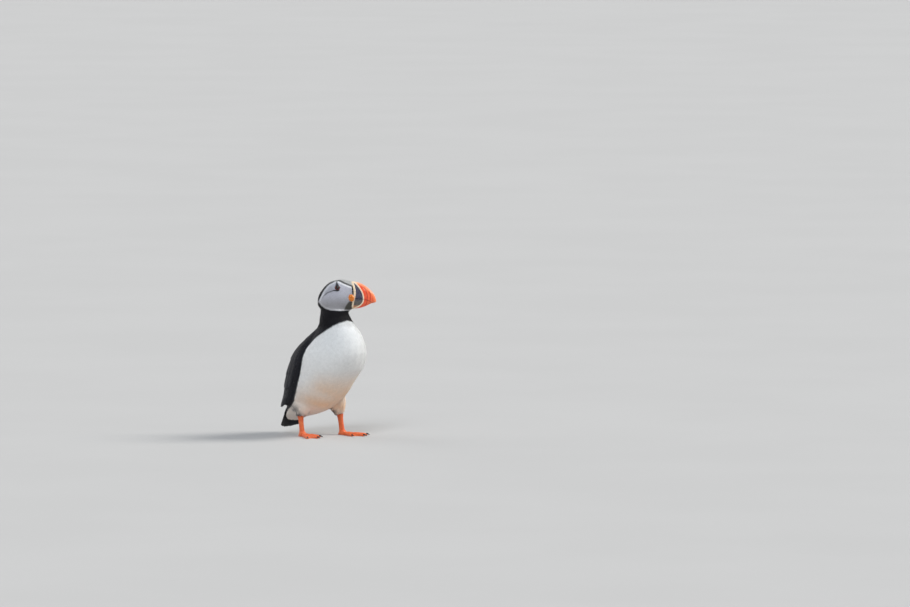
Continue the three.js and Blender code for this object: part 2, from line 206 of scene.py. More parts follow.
class Spine:
    """The line that feather places are measured along and round."""

    def __init__(self):
        flat = curve_through([(forward, up) for up, forward in SPINE], 90)
        self.points = np.column_stack([np.zeros(len(flat)), flat])
        self.tangent = unit(np.gradient(self.points, axis=0))
        step = np.linalg.norm(np.diff(self.points, axis=0), axis=1)
        self.length = np.concatenate([[0], np.cumsum(step)])
        self.forward = unit(np.cross(self.tangent, [[-1.0, 0, 0]]))

    def beside(self, points):
        """For points of the frame: the bird's millimetres, the nearest index, and how far they
        lie left of and ahead of the spine there."""
        places = BIRD.inside(points)
        index = np.empty(len(places), int)
        for k in range(0, len(places), SPINE_BATCH):
            part = places[k:k + SPINE_BATCH]
            gap = ((part[:, None, 1:] - self.points[None, :, 1:]) ** 2).sum(-1)
            index[k:k + SPINE_BATCH] = gap.argmin(1)
        out = places - self.points[index]
        return places, index, out[:, 0], (out * self.forward[index]).sum(-1)

    def place(self, points):
        """Along (mm), round (degrees: 90 breast, -90 back), nearest index and millimetres."""
        places, index, left, ahead = self.beside(points)
        return self.length[index], np.degrees(np.arctan2(ahead, np.abs(left))), index, places

    def unroll(self, points):
        """Round (degrees, all the way) and along (mm): the unwrap that coats are numbered by."""
        _, index, left, ahead = self.beside(points)
        return np.degrees(np.arctan2(left, ahead)), self.length[index]


SPINE_LINE = Spine()


# ---------------------------------------------------------------- meshes
def fill_mesh(name, points, faces):
    """A mesh from points and a list of face arrays, each with its own number of corners."""
    mesh = bpy.data.meshes.new(name)
    faces = [np.asarray(group, np.int32) for group in faces if len(group)]
    corners = np.concatenate([group.ravel() for group in faces])
    counts = np.concatenate([np.full(len(group), group.shape[1]) for group in faces])
    starts = np.concatenate([[0], np.cumsum(counts)[:-1]]).astype(np.int32)
    mesh.vertices.add(len(points))
    mesh.vertices.foreach_set("co", np.asarray(points, np.float32).ravel())
    mesh.loops.add(len(corners))
    mesh.loops.foreach_set("vertex_index", corners)
    mesh.polygons.add(len(counts))
    mesh.polygons.foreach_set("loop_start", starts)
    mesh.update(calc_edges=True)
    mesh.shade_smooth()
    return mesh


def grid_faces(rows, columns, closed):
    """Quads of a grid of points kept row by row. Closed joins its last column to its first."""
    spans = columns if closed else columns - 1
    row, column = np.meshgrid(np.arange(rows - 1), np.arange(spans), indexing="ij")
    first = row * columns + column
    second = row * columns + (column + 1) % columns
    return np.stack([first, second, second + columns, first + columns], -1).reshape(-1, 4)


def outward(points, faces):
    """The faces, turned over if they face the inside of the form."""
    volume = 0.0
    for group in faces:
        a, b, c = (points[group[:, k]] for k in range(3))
        volume += (a * np.cross(b, c)).sum()
        if group.shape[1] == 4:
            volume += (a * np.cross(c, points[group[:, 3]])).sum()
    return faces if volume > 0 else [group[:, ::-1] for group in faces]


def ringed_mesh(name, rings):
    """A closed form through rings of points, with a fan of faces over each end."""
    rows, around, _ = rings.shape
    points = np.concatenate([rings.reshape(-1, 3), rings[:1].mean(1), rings[-1:].mean(1)])
    here = np.arange(around)
    after = (here + 1) % around
    low = np.stack([after, here, np.full(around, rows * around)], -1)
    top = (rows - 1) * around
    high = np.stack([here + top, after + top, np.full(around, rows * around + 1)], -1)
    faces = [grid_faces(rows, around, True), np.concatenate([low, high])]
    middle = points.mean(0)
    return fill_mesh(name, points, outward(points - middle, faces))


def keep_numbers(mesh, name, values):
    """Keeps three numbers for each of a mesh's points."""
    layer = mesh.attributes.new(name, "FLOAT_VECTOR", "POINT")
    layer.data.foreach_set("vector", np.asarray(values, np.float32).ravel())


def add_object(name, data):
    """A new object in the scene."""
    made = bpy.data.objects.new(name, data)
    bpy.context.scene.collection.objects.link(made)
    return made


def show(name, mesh, material, replaced=()):
    """Puts a mesh in the scene as a piece that goes with the frame's one body."""
    piece = add_object(name, mesh)
    mesh.materials.clear()
    mesh.materials.append(material)
    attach(piece, "root")
    if replaced:
        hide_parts(*replaced)


def read_all(items, key, width=1, kind=np.int32):
    """A value that each of a mesh's items keeps, as an array with a row for each item."""
    values = np.empty(len(items) * width, kind)
    items.foreach_get(key, values)
    return values if width == 1 else values.reshape(-1, width)


def mesh_points(mesh):
    """All of a mesh's points as an array."""
    return read_all(mesh.vertices, "co", 3, np.float32).astype(float)


def mesh_normals(mesh):
    """The normals at all of a mesh's points."""
    return read_all(mesh.vertex_normals, "vector", 3, np.float32).astype(float)


def search_tree(mesh, normals):
    """A tree for finding places on a mesh, with its faces' normals and its faces' corners."""
    faces = [list(face.vertices) for face in mesh.polygons]
    tree = BVHTree.FromPolygons(mesh_points(mesh).tolist(), faces)
    return tree, unit(np.array([normals[face].mean(0) for face in faces])), faces


def move_points(mesh, points):
    """Puts a mesh's points somewhere else."""
    mesh.vertices.foreach_set("co", np.asarray(points, np.float32).ravel())
    mesh.update()


def paint(mesh, colours):
    """Keeps the plumage's colour for each of a mesh's points."""
    layer = mesh.color_attributes.new("plumage", "FLOAT_COLOR", "POINT")
    full = np.ones((len(mesh.vertices), 4), np.float32)
    full[:, :3] = colours
    layer.data.foreach_set("color", full.ravel())


def baked(mesh, *modifiers):
    """What a mesh becomes under modifiers, each given as its kind and its settings."""
    scratch = add_object("scratch", mesh)
    for kind, settings in modifiers:
        made = scratch.modifiers.new(kind, kind)
        for key, value in settings.items():
            setattr(made, key, value)
    graph = bpy.context.evaluated_depsgraph_get()
    result = bpy.data.meshes.new_from_object(scratch.evaluated_get(graph))
    bpy.data.objects.remove(scratch)
    return result


def smoothing(rounds):
    """The modifier that evens a mesh out."""
    return "SMOOTH", {"factor": 0.5, "iterations": rounds}


def joined_nodes(names, swell):
    """One mesh of the named frame nodes, each grown a little so that neighbours meet."""
    points, faces, count = [], [], 0
    for name in names:
        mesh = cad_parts[name].data
        mesh.calc_loop_triangles()
        corners = read_all(mesh.loop_triangles, "vertices", 3)
        keys, back = np.unique(np.round(mesh_points(mesh), 6), axis=0, return_inverse=True)
        triangles = back.reshape(-1)[corners]
        slant = np.cross(keys[triangles[:, 1]] - keys[triangles[:, 0]],
                         keys[triangles[:, 2]] - keys[triangles[:, 0]])
        normals = np.zeros_like(keys)
        for corner in range(3):
            np.add.at(normals, triangles[:, corner], slant)
        points.append(keys + unit(normals) * swell)
        faces.append(triangles + count)
        count += len(keys)
    return fill_mesh("joined", np.concatenate(points), [np.concatenate(faces)])


def remeshed(mesh, voxel, rounds):
    """The mesh made whole from small cubes, and smoothed."""
    return baked(mesh, ("REMESH", {"mode": "VOXEL", "voxel_size": voxel}), smoothing(rounds))


def shrunk(mesh, depth, voxel):
    """The surface that lies a depth under a closed mesh. Thinner parts are left out."""
    group = bpy.data.node_groups.new("shrink", "GeometryNodeTree")
    for way in ("INPUT", "OUTPUT"):
        group.interface.new_socket("Geometry", in_out=way, socket_type="NodeSocketGeometry")
    start = group.nodes.new("NodeGroupInput")
    end = group.nodes.new("NodeGroupOutput")
    fog = group.nodes.new("GeometryNodeMeshToVolume")
    fog.resolution_mode = "VOXEL_SIZE"
    fog.inputs["Voxel Size"].default_value = voxel
    fog.inputs["Interior Band Width"].default_value = 2 * depth
    fog.inputs["Density"].default_value = 1.0
    surface = group.nodes.new("GeometryNodeVolumeToMesh")
    surface.resolution_mode = "GRID"
    surface.inputs["Threshold"].default_value = 0.5
    group.links.new(start.outputs[0], fog.inputs["Mesh"])
    group.links.new(fog.outputs[0], surface.inputs["Volume"])
    group.links.new(surface.outputs[0], end.inputs[0])
    return baked(mesh, ("NODES", {"node_group": group}), smoothing(4))


# ---------------------------------------------------------------- materials
class Nodes:
    """The nodes of a material or of the world, added step by step."""

    def __init__(self, owner):
        owner.use_nodes = True
        self.tree = owner.node_tree

    def node(self, kind, settings=None, **inputs):
        """Adds a node. An input is a value, or an output to link from."""
        made = self.tree.nodes.new("ShaderNode" + kind)
        for key, value in (settings or {}).items():
            setattr(made, key, value)
        for key, value in inputs.items():
            self.feed(made.inputs[key.replace("_", " ")], value)
        return made

    def feed(self, socket, value):
        """Links an output to a socket, or sets the socket's value."""
        if isinstance(value, bpy.types.NodeSocket):
            self.tree.links.new(value, socket)
        else:
            socket.default_value = value

    def step(self, operation, first, second=0.0, third=0.0):
        """One step of arithmetic on values."""
        made = self.node("Math", {"operation": operation})
        for socket, value in zip(made.inputs, (first, second, third)):
            self.feed(socket, value)
        return made.outputs[0]

    def times(self, first, second):
        """The product of two values."""
        return self.step("MULTIPLY", first, second)

    def scaled(self, value, factor, more):
        """A value times a factor, and more added to it."""
        return self.step("MULTIPLY_ADD", value, factor, more)

    def gap(self, value, middle):
        """How far a value is from a middle one."""
        return self.step("ABSOLUTE", self.step("SUBTRACT", value, middle))

    def attribute(self, name):
        """Something kept on the mesh."""
        return self.node("Attribute", {"attribute_name": name})

    def numbers(self, name):
        """The three numbers that a mesh keeps under a name."""
        return self.node("SeparateXYZ", Vector=self.attribute(name).outputs["Vector"]).outputs

    def noise(self, scale, detail=3.0):
        """Cloudy variation, 0 to 1, with scale features to a metre."""
        made = self.node("TexNoise", Scale=scale, Detail=detail)
        self.feed(made.inputs["Vector"], self.node("TexCoord").outputs["Object"])
        return made.outputs["Fac"]

    def cells(self, scale, feature="F1"):
        """Small cells: how far each place is from the middle or the edge of its cell."""
        made = self.node("TexVoronoi", {"feature": feature}, Scale=scale)
        self.feed(made.inputs["Vector"], self.node("TexCoord").outputs["Object"])
        return made.outputs["Distance"]

    def blend(self, share, first, second, way="MIX"):
        """A blend of two colours."""
        made = self.node("Mix", {"data_type": "RGBA", "blend_type": way})
        self.feed(made.inputs["Factor"], share)
        for socket, value in ((made.inputs[6], first), (made.inputs[7], second)):
            if not isinstance(value, bpy.types.NodeSocket):
                value = (*value[:3], 1.0)
            self.feed(socket, value)
        return made.outputs[2]

    def span(self, value, low, high, out_low=0.0, out_high=1.0):
        """A value carried from one range to another, held inside it."""
        made = self.node("MapRange", {"interpolation_type": "SMOOTHSTEP"})
        for socket, number in zip(made.inputs, (value, low, high, out_low, out_high)):
            self.feed(socket, number)
        return made.outputs[0]


class Recipe(Nodes):
    """A node material with one shader."""

    def __init__(self, name, **finish):
        self.material = bpy.data.materials.new(name)
        super().__init__(self.material)
        self.shader = self.tree.nodes["Principled BSDF"]
        for socket, value in finish.items():
            self.shader.inputs[socket.replace("_", " ")].default_value = value

    def bump(self, height, depth, strength):
        """Fine relief on the shader's normal, so many millimetres deep."""
        made = self.node("Bump", Height=height, Distance=depth * MM, Strength=strength)
        self.feed(self.shader.inputs["Normal"], made.outputs[0])

    def coloured(self, colour):
        """The finished material, in its colour."""
        self.feed(self.shader.inputs["Base Color"], colour)
        return self.material


BARBS_PER_MM = 1.9


def plumage_material(name, vanes):
    """Feathers in their own markings, with barbs, small differences and a soft sheen."""
    recipe = Recipe(name, Sheen_Weight=0.04, Sheen_Roughness=0.5, Specular_IOR_Level=0.15)
    marking = recipe.attribute("plumage").outputs["Color"]
    light = recipe.node("RGBToBW", Color=marking).outputs[0]
    cloud = recipe.noise(220.0)
    tone = recipe.span(cloud, 0.3, 0.7, 0.97, 1.02)
    relief = recipe.noise(1400.0, 2.0)
    if vanes:
        across, along, own = recipe.numbers("vane")
        line = recipe.scaled(recipe.step("ABSOLUTE", across), -1.1, along)
        shift = recipe.scaled(cloud, 1.4, line)
        barbs = recipe.step("SINE", recipe.times(shift, BARBS_PER_MM * 2 * math.pi))
        barb_tone = recipe.scaled(barbs, recipe.span(light, 0.02, 0.5, 0.08, 0.014), tone)
        tone = recipe.times(barb_tone, recipe.scaled(own, 0.05, 0.975))
        relief = recipe.scaled(barbs, 0.5, 0.5)
    recipe.feed(recipe.shader.inputs["Roughness"], recipe.span(light, 0.02, 0.4, 0.52, 0.82))
    recipe.bump(relief, 0.12, recipe.span(light, 0.02, 0.4, 0.35, 0.08))
    grey = recipe.node("CombineXYZ", X=tone, Y=tone, Z=tone)
    return recipe.coloured(recipe.blend(1.0, marking, grey.outputs[0], "MULTIPLY"))


# ---------------------------------------------------------------- markings, in millimetres
# The pale face patch, in the head's middle plane: ahead and up.
FACE_PATCH = [
    (32, 11), (24, 12.7), (19.4, 14.7), (12.4, 17.6), (6, 20.6), (0.4, 21.6), (-8.6, 16.5),
    (-15.6, 8.6), (-20.6, -0.8), (-23.6, -6.8), (-19.6, -12.2), (-13.6, -16.2), (-6.6, -18.9),
    (5.4, -19.8), (19.4, -20.1), (32, -19.5),
]
CHIN_WEDGE = [(19, -7), (32, -7), (32, -22), (11, -22), (14.5, -13)]
FURROW = [(-2.0, 8.8), (-6, 7.4), (-10.6, 5.8), (-16, 1.5), (-19.5, -4)]
CROWN_HALF = 6.0  # half the width of the dark band over the crown
# Where the dark coat ends: round (90 breast, -90 back) and up. All above and behind is dark.
DARK_EDGE = [
    (95, 168), (60, 165.5), (35, 161.5), (15, 156.5), (0, 151), (-12, 146), (-17, 140),
    (-19, 130), (-14, 115), (-8, 104), (-4, 95), (-1, 80), (-1, 60), (-2, 47), (-6, 38), (-10, 0),
]
ROUND_TO_MM = 0.55  # how far a degree round the body is taken to be
# The middle of the fleshy rim round the bill's base: ahead and up.
RIM = [(23.0, 24), (24.0, 19), (26.3, 12), (27.1, 3), (25.0, -7), (23.6, -15), (23.2, -21)]
RIM_HALF = 1.5
RIM_SWELL = 0.65  # how far it stands out


def ahead_of_rim(ahead, up):
    """How far places of the head lie ahead of the middle of the rim round the bill's base."""
    line = curve_through(RIM[::-1], 80)
    return ahead - np.interp(up, line[:, 1], line[:, 0])


def wobble(places, size, seed):
    """Smooth noise between -1 and 1 that changes over about a size in millimetres."""
    rng = np.random.default_rng(seed)
    total = np.zeros(len(places))
    for octave in (1.0, 2.1, 4.3):
        for _ in range(4):
            wave = unit(rng.normal(size=3)) * octave * 2 * math.pi / size
            total += np.sin(places @ wave + rng.uniform(0, 6.28)) / octave
    return total / 4


def pale_coat(places, look):
    """The white coat's colour, with painted warm bounce light low on the belly, a painted cool sky tint
    higher up and the dusky streaks at the thighs.
    """
    colour = np.tile(np.array(look.white), (len(places), 1))
    height = places[:, 2] - 16 * ease(0, 32, places[:, 1])
    # painted warm bounce light: the lower belly, most of all at the front, is tinted as if lit from below
    # by warm light
    bounce = ease(90, 46, height) * (0.8 + 0.2 * wobble(places, 25, 3))
    bounce = bounce * (0.4 + 0.6 * ease(-25, 12, places[:, 1]))
    colour = tint(colour, colour * np.array(look.bounce_tint), bounce)
    # painted cool sky light: the white is a little bluer higher up on the breast
    sky_tint = ease(95, 150, places[:, 2])
    colour = tint(colour, colour * np.array([0.97, 0.985, 1.0]), sky_tint)
    streak = ease(-0.6, 0.0, wobble(places * [1.5, 1.5, 0.35], 7, 5)) * ease(52, 38, places[:, 2])
    for side in SIDES:
        from_thigh = places[:, :2] - BIRD.inside(middle_of("thigh_" + side))[:2]
        near = ease(17, 11, np.linalg.norm(from_thigh, axis=1)) * ease(9, -1, from_thigh[:, 1])
        colour = tint(colour, look.dusky, streak * near * 0.95)
    return colour


def dark_coat(places, round_, on_wing, look):
    """The dark coat's colour, browner at the neck, and how much each place has of it."""
    plane = np.column_stack([round_ * ROUND_TO_MM, places[:, 2]])
    edge = [(angle * ROUND_TO_MM, up) for angle, up in DARK_EDGE]
    edge += [(-60, 0), (-60, 260), (95 * ROUND_TO_MM, 260)]
    depth = inside_distance(edge, plane) + 0.5 * wobble(places, 9, 7)
    black = np.array(look.black)
    brownish = ease(150, 175, places[:, 2]) * 0.6
    coat = tint(black, black * np.array([1.15, 1.0, 0.9]), brownish)
    return coat, np.maximum(ease(-0.5, 0.5, depth), on_wing)


def cap_colour(head, inside, look):
    """The crown's colour: darker to the nape and pale grey at the forecrown, partly its own grey-brown and
    partly a painted sunlit sheen, with a fine dark line beside the face patch.
    """
    ahead, aside = head[:, 0], np.abs(head[:, 1])
    # the pale forecrown is partly the feathers' own grey-brown and partly a painted sunlit sheen
    cap = tint(look.crown_back, look.crown, ease(-16, 8, ahead))
    line = ease(-2.6, -1.2, inside) * ease(0.6, 0.2, inside) * ease(-14, -4, ahead)
    line = line * 0.85 * ease(CROWN_HALF - 3.2, CROWN_HALF - 1.2, aside)
    return tint(cap, look.black, line)


def face_colour(head, inside, crown_gap, look):
    """The face patch's colour: its pale edge with a painted sun glint at the top and front, the furrow
    behind the eye with painted shade over its grey line, and the dark chin.
    """
    ahead, up = head[:, 0], head[:, 2]
    plane = head[:, [0, 2]]
    face = tint(look.face, look.face_shade, ease(6, -15, up))
    face = tint(face, face * 0.86, ease(3, 7, up) * ease(2, -5, ahead) * ease(19, 12, up))
    from_edge = np.minimum(inside, crown_gap + 20 * ease(13, 5, up))
    # the pale edge is the patch's own; its strengthening towards the top and the front is a painted sun
    # glint
    pale = ease(3.0, 1.6, from_edge) * (0.5 + 0.5 * ease(-6, 6, ahead))
    face = tint(face, look.face_edge_glint, pale * (0.6 + 0.4 * ease(-10, 0, up)))
    # the furrow's own grey line, deepened with painted shade in its crease
    furrow = ease(1.3, 0.3, line_distance(FURROW, plane)) * ease(-21, -12, ahead)
    face = tint(face, face * 0.42, furrow)
    line = ease(-3.6, -2.9, ahead_of_rim(ahead, up)) * ease(0.5, 4, up)
    face = tint(face, look.crown_back, line)
    wedge = ease(-0.6, 0.9, inside_distance(CHIN_WEDGE, plane))
    return tint(face, look.chin, wedge * ease(0.5, 2.0, inside))


def markings(points, on_wing):
    """The coat's colour at points of the frame."""
    look = looks()
    _, round_, _, places = SPINE_LINE.place(points)
    colour = tint(pale_coat(places, look), *dark_coat(places, round_, on_wing, look))
    head = HEAD.inside(points)
    up, ahead, aside = head[:, 2], head[:, 0], np.abs(head[:, 1])
    inside = inside_distance(FACE_PATCH, head[:, [0, 2]])
    crown_gap = aside - CROWN_HALF - 1.5 * ease(10, -15, ahead)
    crown = ease(6, 14, up) * ease(0.5, -0.5, crown_gap)
    patch = ease(-0.45, 0.45, inside) * (1 - crown)
    colour = tint(colour, cap_colour(head, inside, look), ease(2, 10, up) * (1 - patch))
    return tint(colour, face_colour(head, inside, crown_gap, look), patch)


# ---------------------------------------------------------------- skin
COAT_DEPTH = {"head": 1.1, "body": 2.6}  # how far the skin lies under the solids
FILLED = ("eye_left", "eye_right", "gape_left", "gape_right")  # solids that it also runs under
SKIN_SWELL = 0.4  # how far the solids are grown to meet, and the skin is sunk again
BODY_VOXEL = 0.8  # the size of the cubes that solids are joined by
SKIN_VOXEL = 0.95  # the same for the skin under them
# The skin is painted darker than the coat over it, as painted shade under the feathers.
SKIN_SHADE = 0.9  # how light the skin is, as a share of the coat over it
FOLD_REACH = 0.016  # how near the skin has to face itself for no feathers to grow, in metres


def smooth_normals(mesh, rounds):
    """Normals at a mesh's points, evened out over their neighbours."""
    normals = mesh_normals(mesh)
    edges = read_all(mesh.edges, "vertices", 2)
    for _ in range(rounds):
        total = normals.copy()
        np.add.at(total, edges[:, 0], normals[edges[:, 1]])
        np.add.at(total, edges[:, 1], normals[edges[:, 0]])
        normals = unit(total)
    return normals


def largest_part(mesh):
    """Leaves out all but the largest part of a mesh."""
    edges = read_all(mesh.edges, "vertices", 2)
    label = np.arange(len(mesh.vertices))
    while True:
        low = np.minimum(label[edges[:, 0]], label[edges[:, 1]])
        before = label.copy()
        np.minimum.at(label, edges[:, 0], low)
        np.minimum.at(label, edges[:, 1], low)
        label = label[label]
        if (label == before).all():
            break
    keep = label == np.bincount(label).argmax()
    number = np.cumsum(keep) - 1
    corners = read_all(mesh.loops, "vertex_index")
    counts = read_all(mesh.polygons, "loop_total")
    starts = np.cumsum(counts) - counts
    groups = []
    for size in (3, 4):
        rows = starts[counts == size][:, None] + np.arange(size)
        faces = corners[rows]
        groups.append(number[faces[keep[faces[:, 0]]]])
    return fill_mesh(mesh.name, mesh_points(mesh)[keep], groups)


class Flesh:
    """Tells which solid of the frame a place of the skin belongs to."""

    def __init__(self):
        points, faces, self.owner, count = [], [], [], 0
        for number, name in enumerate(FLESH):
            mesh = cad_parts[name].data
            places = mesh_points(mesh)
            points += places.tolist()
            faces += [[v + count for v in face.vertices] for face in mesh.polygons]
            self.owner += [number] * len(mesh.polygons)
            count += len(places)
        self.tree = BVHTree.FromPolygons(points, faces)
        self.owner = np.array(self.owner)

    def owners(self, points):
        """The number in FLESH of the solid nearest to each point."""
        find = self.tree.find_nearest
        return self.owner[[find(point)[2] for point in points.tolist()]]


def is_part(owners, *names):
    """Which owners are among the named solids."""
    return np.isin(owners, [FLESH.index(name) for name in names])


def on_pair(owners, part):
    """1 for the owners that are the left or the right solid of a pair, and 0 for the others."""
    return is_part(owners, part + "_left", part + "_right").astype(float)


def sculpted(mesh):
    """Sinks the skin to the depth of the coat, and presses in the furrow behind each eye."""
    normals = smooth_normals(mesh, 12)
    points = mesh_points(mesh)
    head = HEAD.inside(points)
    body = ease(-16, -44, head[:, 2])
    furrow = ease(2.6, 0.2, line_distance(FURROW, head[:, [0, 2]])) * ease(-22, -12, head[:, 0])
    extra = (COAT_DEPTH["body"] - COAT_DEPTH["head"]) * body + 0.5 * furrow * (head[:, 2] > -14)
    move_points(mesh, points - normals * extra[:, None] * MM)
    return mesh


class Skin:
    """The skin's mesh, with what the feathers need to know about it."""

    def __init__(self):
        whole = joined_nodes(FLESH + FILLED, SKIN_SWELL * MM)
        depth = (COAT_DEPTH["head"] + SKIN_SWELL) * MM
        shell = shrunk(remeshed(whole, BODY_VOXEL * MM, 8), depth, SKIN_VOXEL * MM)
        self.mesh = sculpted(largest_part(shell))
        self.mesh.name = "skin"
        self.points = mesh_points(self.mesh)
        normals = smooth_normals(self.mesh, 10)
        self.tree, self.face_normals, self.faces = search_tree(self.mesh, normals)

    def settle(self, points):
        """The nearest places of the skin, their normals, and how far away they are."""
        find = self.tree.find_nearest
        found = [find(point) for point in points.tolist()]
        places = np.array([hit[0][:] for hit in found])
        normals = self.face_normals[[hit[2] for hit in found]]
        return places, normals, np.array([hit[3] for hit in found])

    def beside(self, places, side):
        """The skin at flat places (ahead, up) of one side of the head, and its normals."""
        out = np.array([0, SIDES[side], 0])
        way = HEAD.turned(out)
        found, normals = [], []
        for ahead, up in places:
            start = Vector(HEAD.outside(np.array([ahead, 0, up]) + 40 * out))
            hit, _, face, _ = self.tree.ray_cast(start, Vector(-way))
            found.append(hit[:])
            normals.append(self.face_normals[face])
        return np.array(found), np.array(normals)

    def folded_in(self, points, normals):
        """Which places face another part of the skin from nearby, as under a wing's tip."""
        cast = self.tree.ray_cast
        starts = points + normals * 1.5 * MM
        hits = [cast(Vector(at), Vector(way), FOLD_REACH)[0] for at, way in zip(starts, normals)]
        return np.array([hit is not None for hit in hits])

    def scatter(self, spacing_at, rng, tries):
        """Places all over the skin, no two nearer than the spacing there."""
        corners = np.array([face[:3] for face in self.faces])
        fourth = np.array([face[-1] for face in self.faces])
        a, b, c = (self.points[corners[:, k]] for k in range(3))
        d = self.points[fourth]
        area = np.linalg.norm(np.cross(b - a, c - a), axis=1)
        area += np.linalg.norm(np.cross(c - a, d - a), axis=1)
        pick = rng.choice(len(area), tries, p=area / area.sum())
        u, v = rng.random((2, tries, 1))
        places = (1 - u) * ((1 - v) * a[pick] + v * b[pick]) + u * ((1 - v) * d[pick] + v * c[pick])
        spacing = spacing_at(places)
        tree = KDTree(tries)
        for number, place in enumerate(places.tolist()):
            tree.insert(place, number)
        tree.balance()
        free = np.ones(tries, bool)
        kept = []
        for number in range(tries):
            if free[number]:
                kept.append(number)
                for _, other, _ in tree.find_range(places[number], spacing[number]):
                    free[other] = False
        return places[kept], self.face_normals[pick[kept]]


# ---------------------------------------------------------------- lie of the coat
BILL_POLE = (80.0, 0.0, -5.0)  # face feathers run away from this place, ahead of the head


def lie_of_coat(points):
    """Which way the feathers run at points of the frame."""
    _, _, index, _ = SPINE_LINE.place(points)
    tailwards = BIRD.turned(SPINE_LINE.tangent[index])
    head = HEAD.inside(points)
    away = unit(head - BILL_POLE)
    away[:, 2] -= 1.5 * ease(4, -24, head[:, 0]) * ease(28, 5, head[:, 2])
    back = HEAD.turned(unit(away))
    share = ease(-34, -16, head[:, 2])[:, None]
    return unit(tailwards * (1 - share) + back * share)


# ---------------------------------------------------------------- feathers
class Pattern:
    """The shape that all feathers of one kind share: across -1 to 1 and along 0 to 1."""

    def __init__(self, points, faces, depth=None):
        # Each point is across, along, and how much it may differ between feathers.
        self.across, self.along, self.loose = np.array(points, float).T
        self.depth = None if depth is None else np.array(depth, float)  # 1 is the under face
        self.quads = np.array([face for face in faces if len(face) == 4], int).reshape(-1, 4)
        self.triangles = np.array([face for face in faces if len(face) == 3], int).reshape(-1, 3)
        self.size = len(self.along)


def contour_pattern(widths, solid_share, tip):
    """A vane that ends in loose points all round: widths are its halves from root to tip."""
    rows = len(widths) - 1
    points, faces = [(0.0, 0.0, 0.0)], [(0, 2, 1), (0, 3, 2)]
    for row in range(1, rows + 1):
        for side in (-1, 0, 1):
            further = 1.2 * tip if side == 0 and row == rows else 0.0
            points.append((side * widths[row] * solid_share, row / rows + further, 0.0))
    for row in range(1, rows):
        first, second = 3 * row - 2, 3 * row + 1
        for side in (0, 1):
            faces.append((first + side, first + side + 1, second + side + 1, second + side))
        for side, sign in ((0, -1), (2, 1)):
            corners = (first + side, second + side, len(points))
            faces.append(corners if sign < 0 else corners[::-1])
            points.append((sign * widths[row + 1] * 1.05, (row + 0.95) / rows, 1.0))
    last = 3 * rows - 2
    for side, sign in ((0, -1), (1, 1)):
        faces.append((last + side, last + side + 1, len(points)))
        points.append((sign * widths[rows] * 0.45, 1.0 + tip, 1.0))
    return Pattern(points, faces)


def tuft_pattern(blades, spread):
    """A few thin blades from one root."""
    points, faces = [], []
    for lean in np.linspace(-1, 1, blades):
        start = len(points)
        for side, at, half in ((-1, 0, 0.34), (1, 0, 0.34), (1, 0.55, 0.30), (-1, 0.55, 0.30)):
            points.append((lean * spread * (0.35 + at) + side * half, at, 0.3))
        points.append((lean * spread * 1.5, 1.0 - 0.16 * abs(lean), 1.0))
        faces += [(start, start + 1, start + 2, start + 3), (start + 3, start + 2, start + 4)]
    return Pattern(points, faces)


BODY_FEATHER = contour_pattern([0.2, 0.62, 0.9, 1.0, 0.86, 0.5], 0.74, 0.13)
COVERT = contour_pattern([0.3, 0.75, 0.98, 1.0, 0.9, 0.62], 0.9, 0.04)
FACE_TUFT = tuft_pattern(3, 0.55)
NECK_TUFT = tuft_pattern(4, 0.6)
SILK_TUFT = tuft_pattern(5, 0.42)
SHAFT_STEPS = 4
PAINT_REACH = 0.7  # how far out from its root a feather takes its colours, as a share
PATCH_SIZE = 0.003  # how wide a feather is on the unwrap
QUILL_THICK = 0.26


class Growth:
    """What one patch of coat is grown with: a row for each feather."""

    def __init__(self, roots, normals, length, width, rise, on_wing=None, colours=None):
        self.roots = roots
        self.normals = normals
        self.length = length * MM
        self.width = width * MM
        self.rise = rise * MM
        self.on_wing = on_wing  # 1 for the feathers that grow on a wing
        self.colours = colours  # a colour for each feather, where they don't follow the markings

    def part(self, keep):
        """The feathers that keep picks out."""
        sizes = (values[keep] / MM for values in (self.length, self.width, self.rise))
        return Growth(self.roots[keep], self.normals[keep], *sizes, self.on_wing[keep])

    def painted(self, spots):
        """Colours of the points of each feather, from how the coat is marked under them."""
        if self.colours is not None:
            return self.colours[:, None]
        spots = mix(self.roots[:, None], spots, PAINT_REACH)
        on_wing = np.repeat(self.on_wing, spots.shape[1])
        return markings(spots.reshape(-1, 3), on_wing).reshape(spots.shape)


def shafts(skin, growth, rng, swing):
    """Shafts that follow the skin and the lie of the coat: places, directions and normals, and
    which of them stay on the skin all the way."""
    count = len(growth.roots)
    turn = rng.normal(0, math.radians(swing), count)[:, None]
    step = (growth.length / SHAFT_STEPS)[:, None]
    place, normal = growth.roots.copy(), growth.normals.copy()
    places, ways, normals = [], [], []
    held = np.ones(count, bool)
    for number in range(SHAFT_STEPS + 1):
        way = lie_of_coat(place)
        way = unit(way - normal * (way * normal).sum(-1, keepdims=True))
        way = way * np.cos(turn) + np.cross(normal, way) * np.sin(turn)
        places.append(place)
        ways.append(way)
        normals.append(normal)
        ahead = place + way * step
        near, near_normal, gap = skin.settle(ahead)
        lost = (gap > 0.75 * step[:, 0])[:, None]
        held &= ~lost[:, 0] | (number == SHAFT_STEPS)
        place = np.where(lost, ahead, near)
        normal = np.where(lost, normal, near_normal)
    held &= (normals[0] * normals[-1]).sum(-1) > 0.35
    return (np.stack(places, 1), np.stack(ways, 1), np.stack(normals, 1)), held


class Habit:
    """How the feathers of a patch lie."""

    def __init__(self, curl=0.16, uneven=0.16, fan=0.38, early=1.2, tip_shade=1.0):
        self.curl = curl  # how far the edges bend down, as a share of half the width
        self.uneven = uneven  # how much the rise differs between feathers
        self.fan = fan  # how far the shading normals lean out to the edges
        self.early = early  # how near the root a feather reaches its full rise
        self.tip_shade = tip_shade  # how light the loose edges are


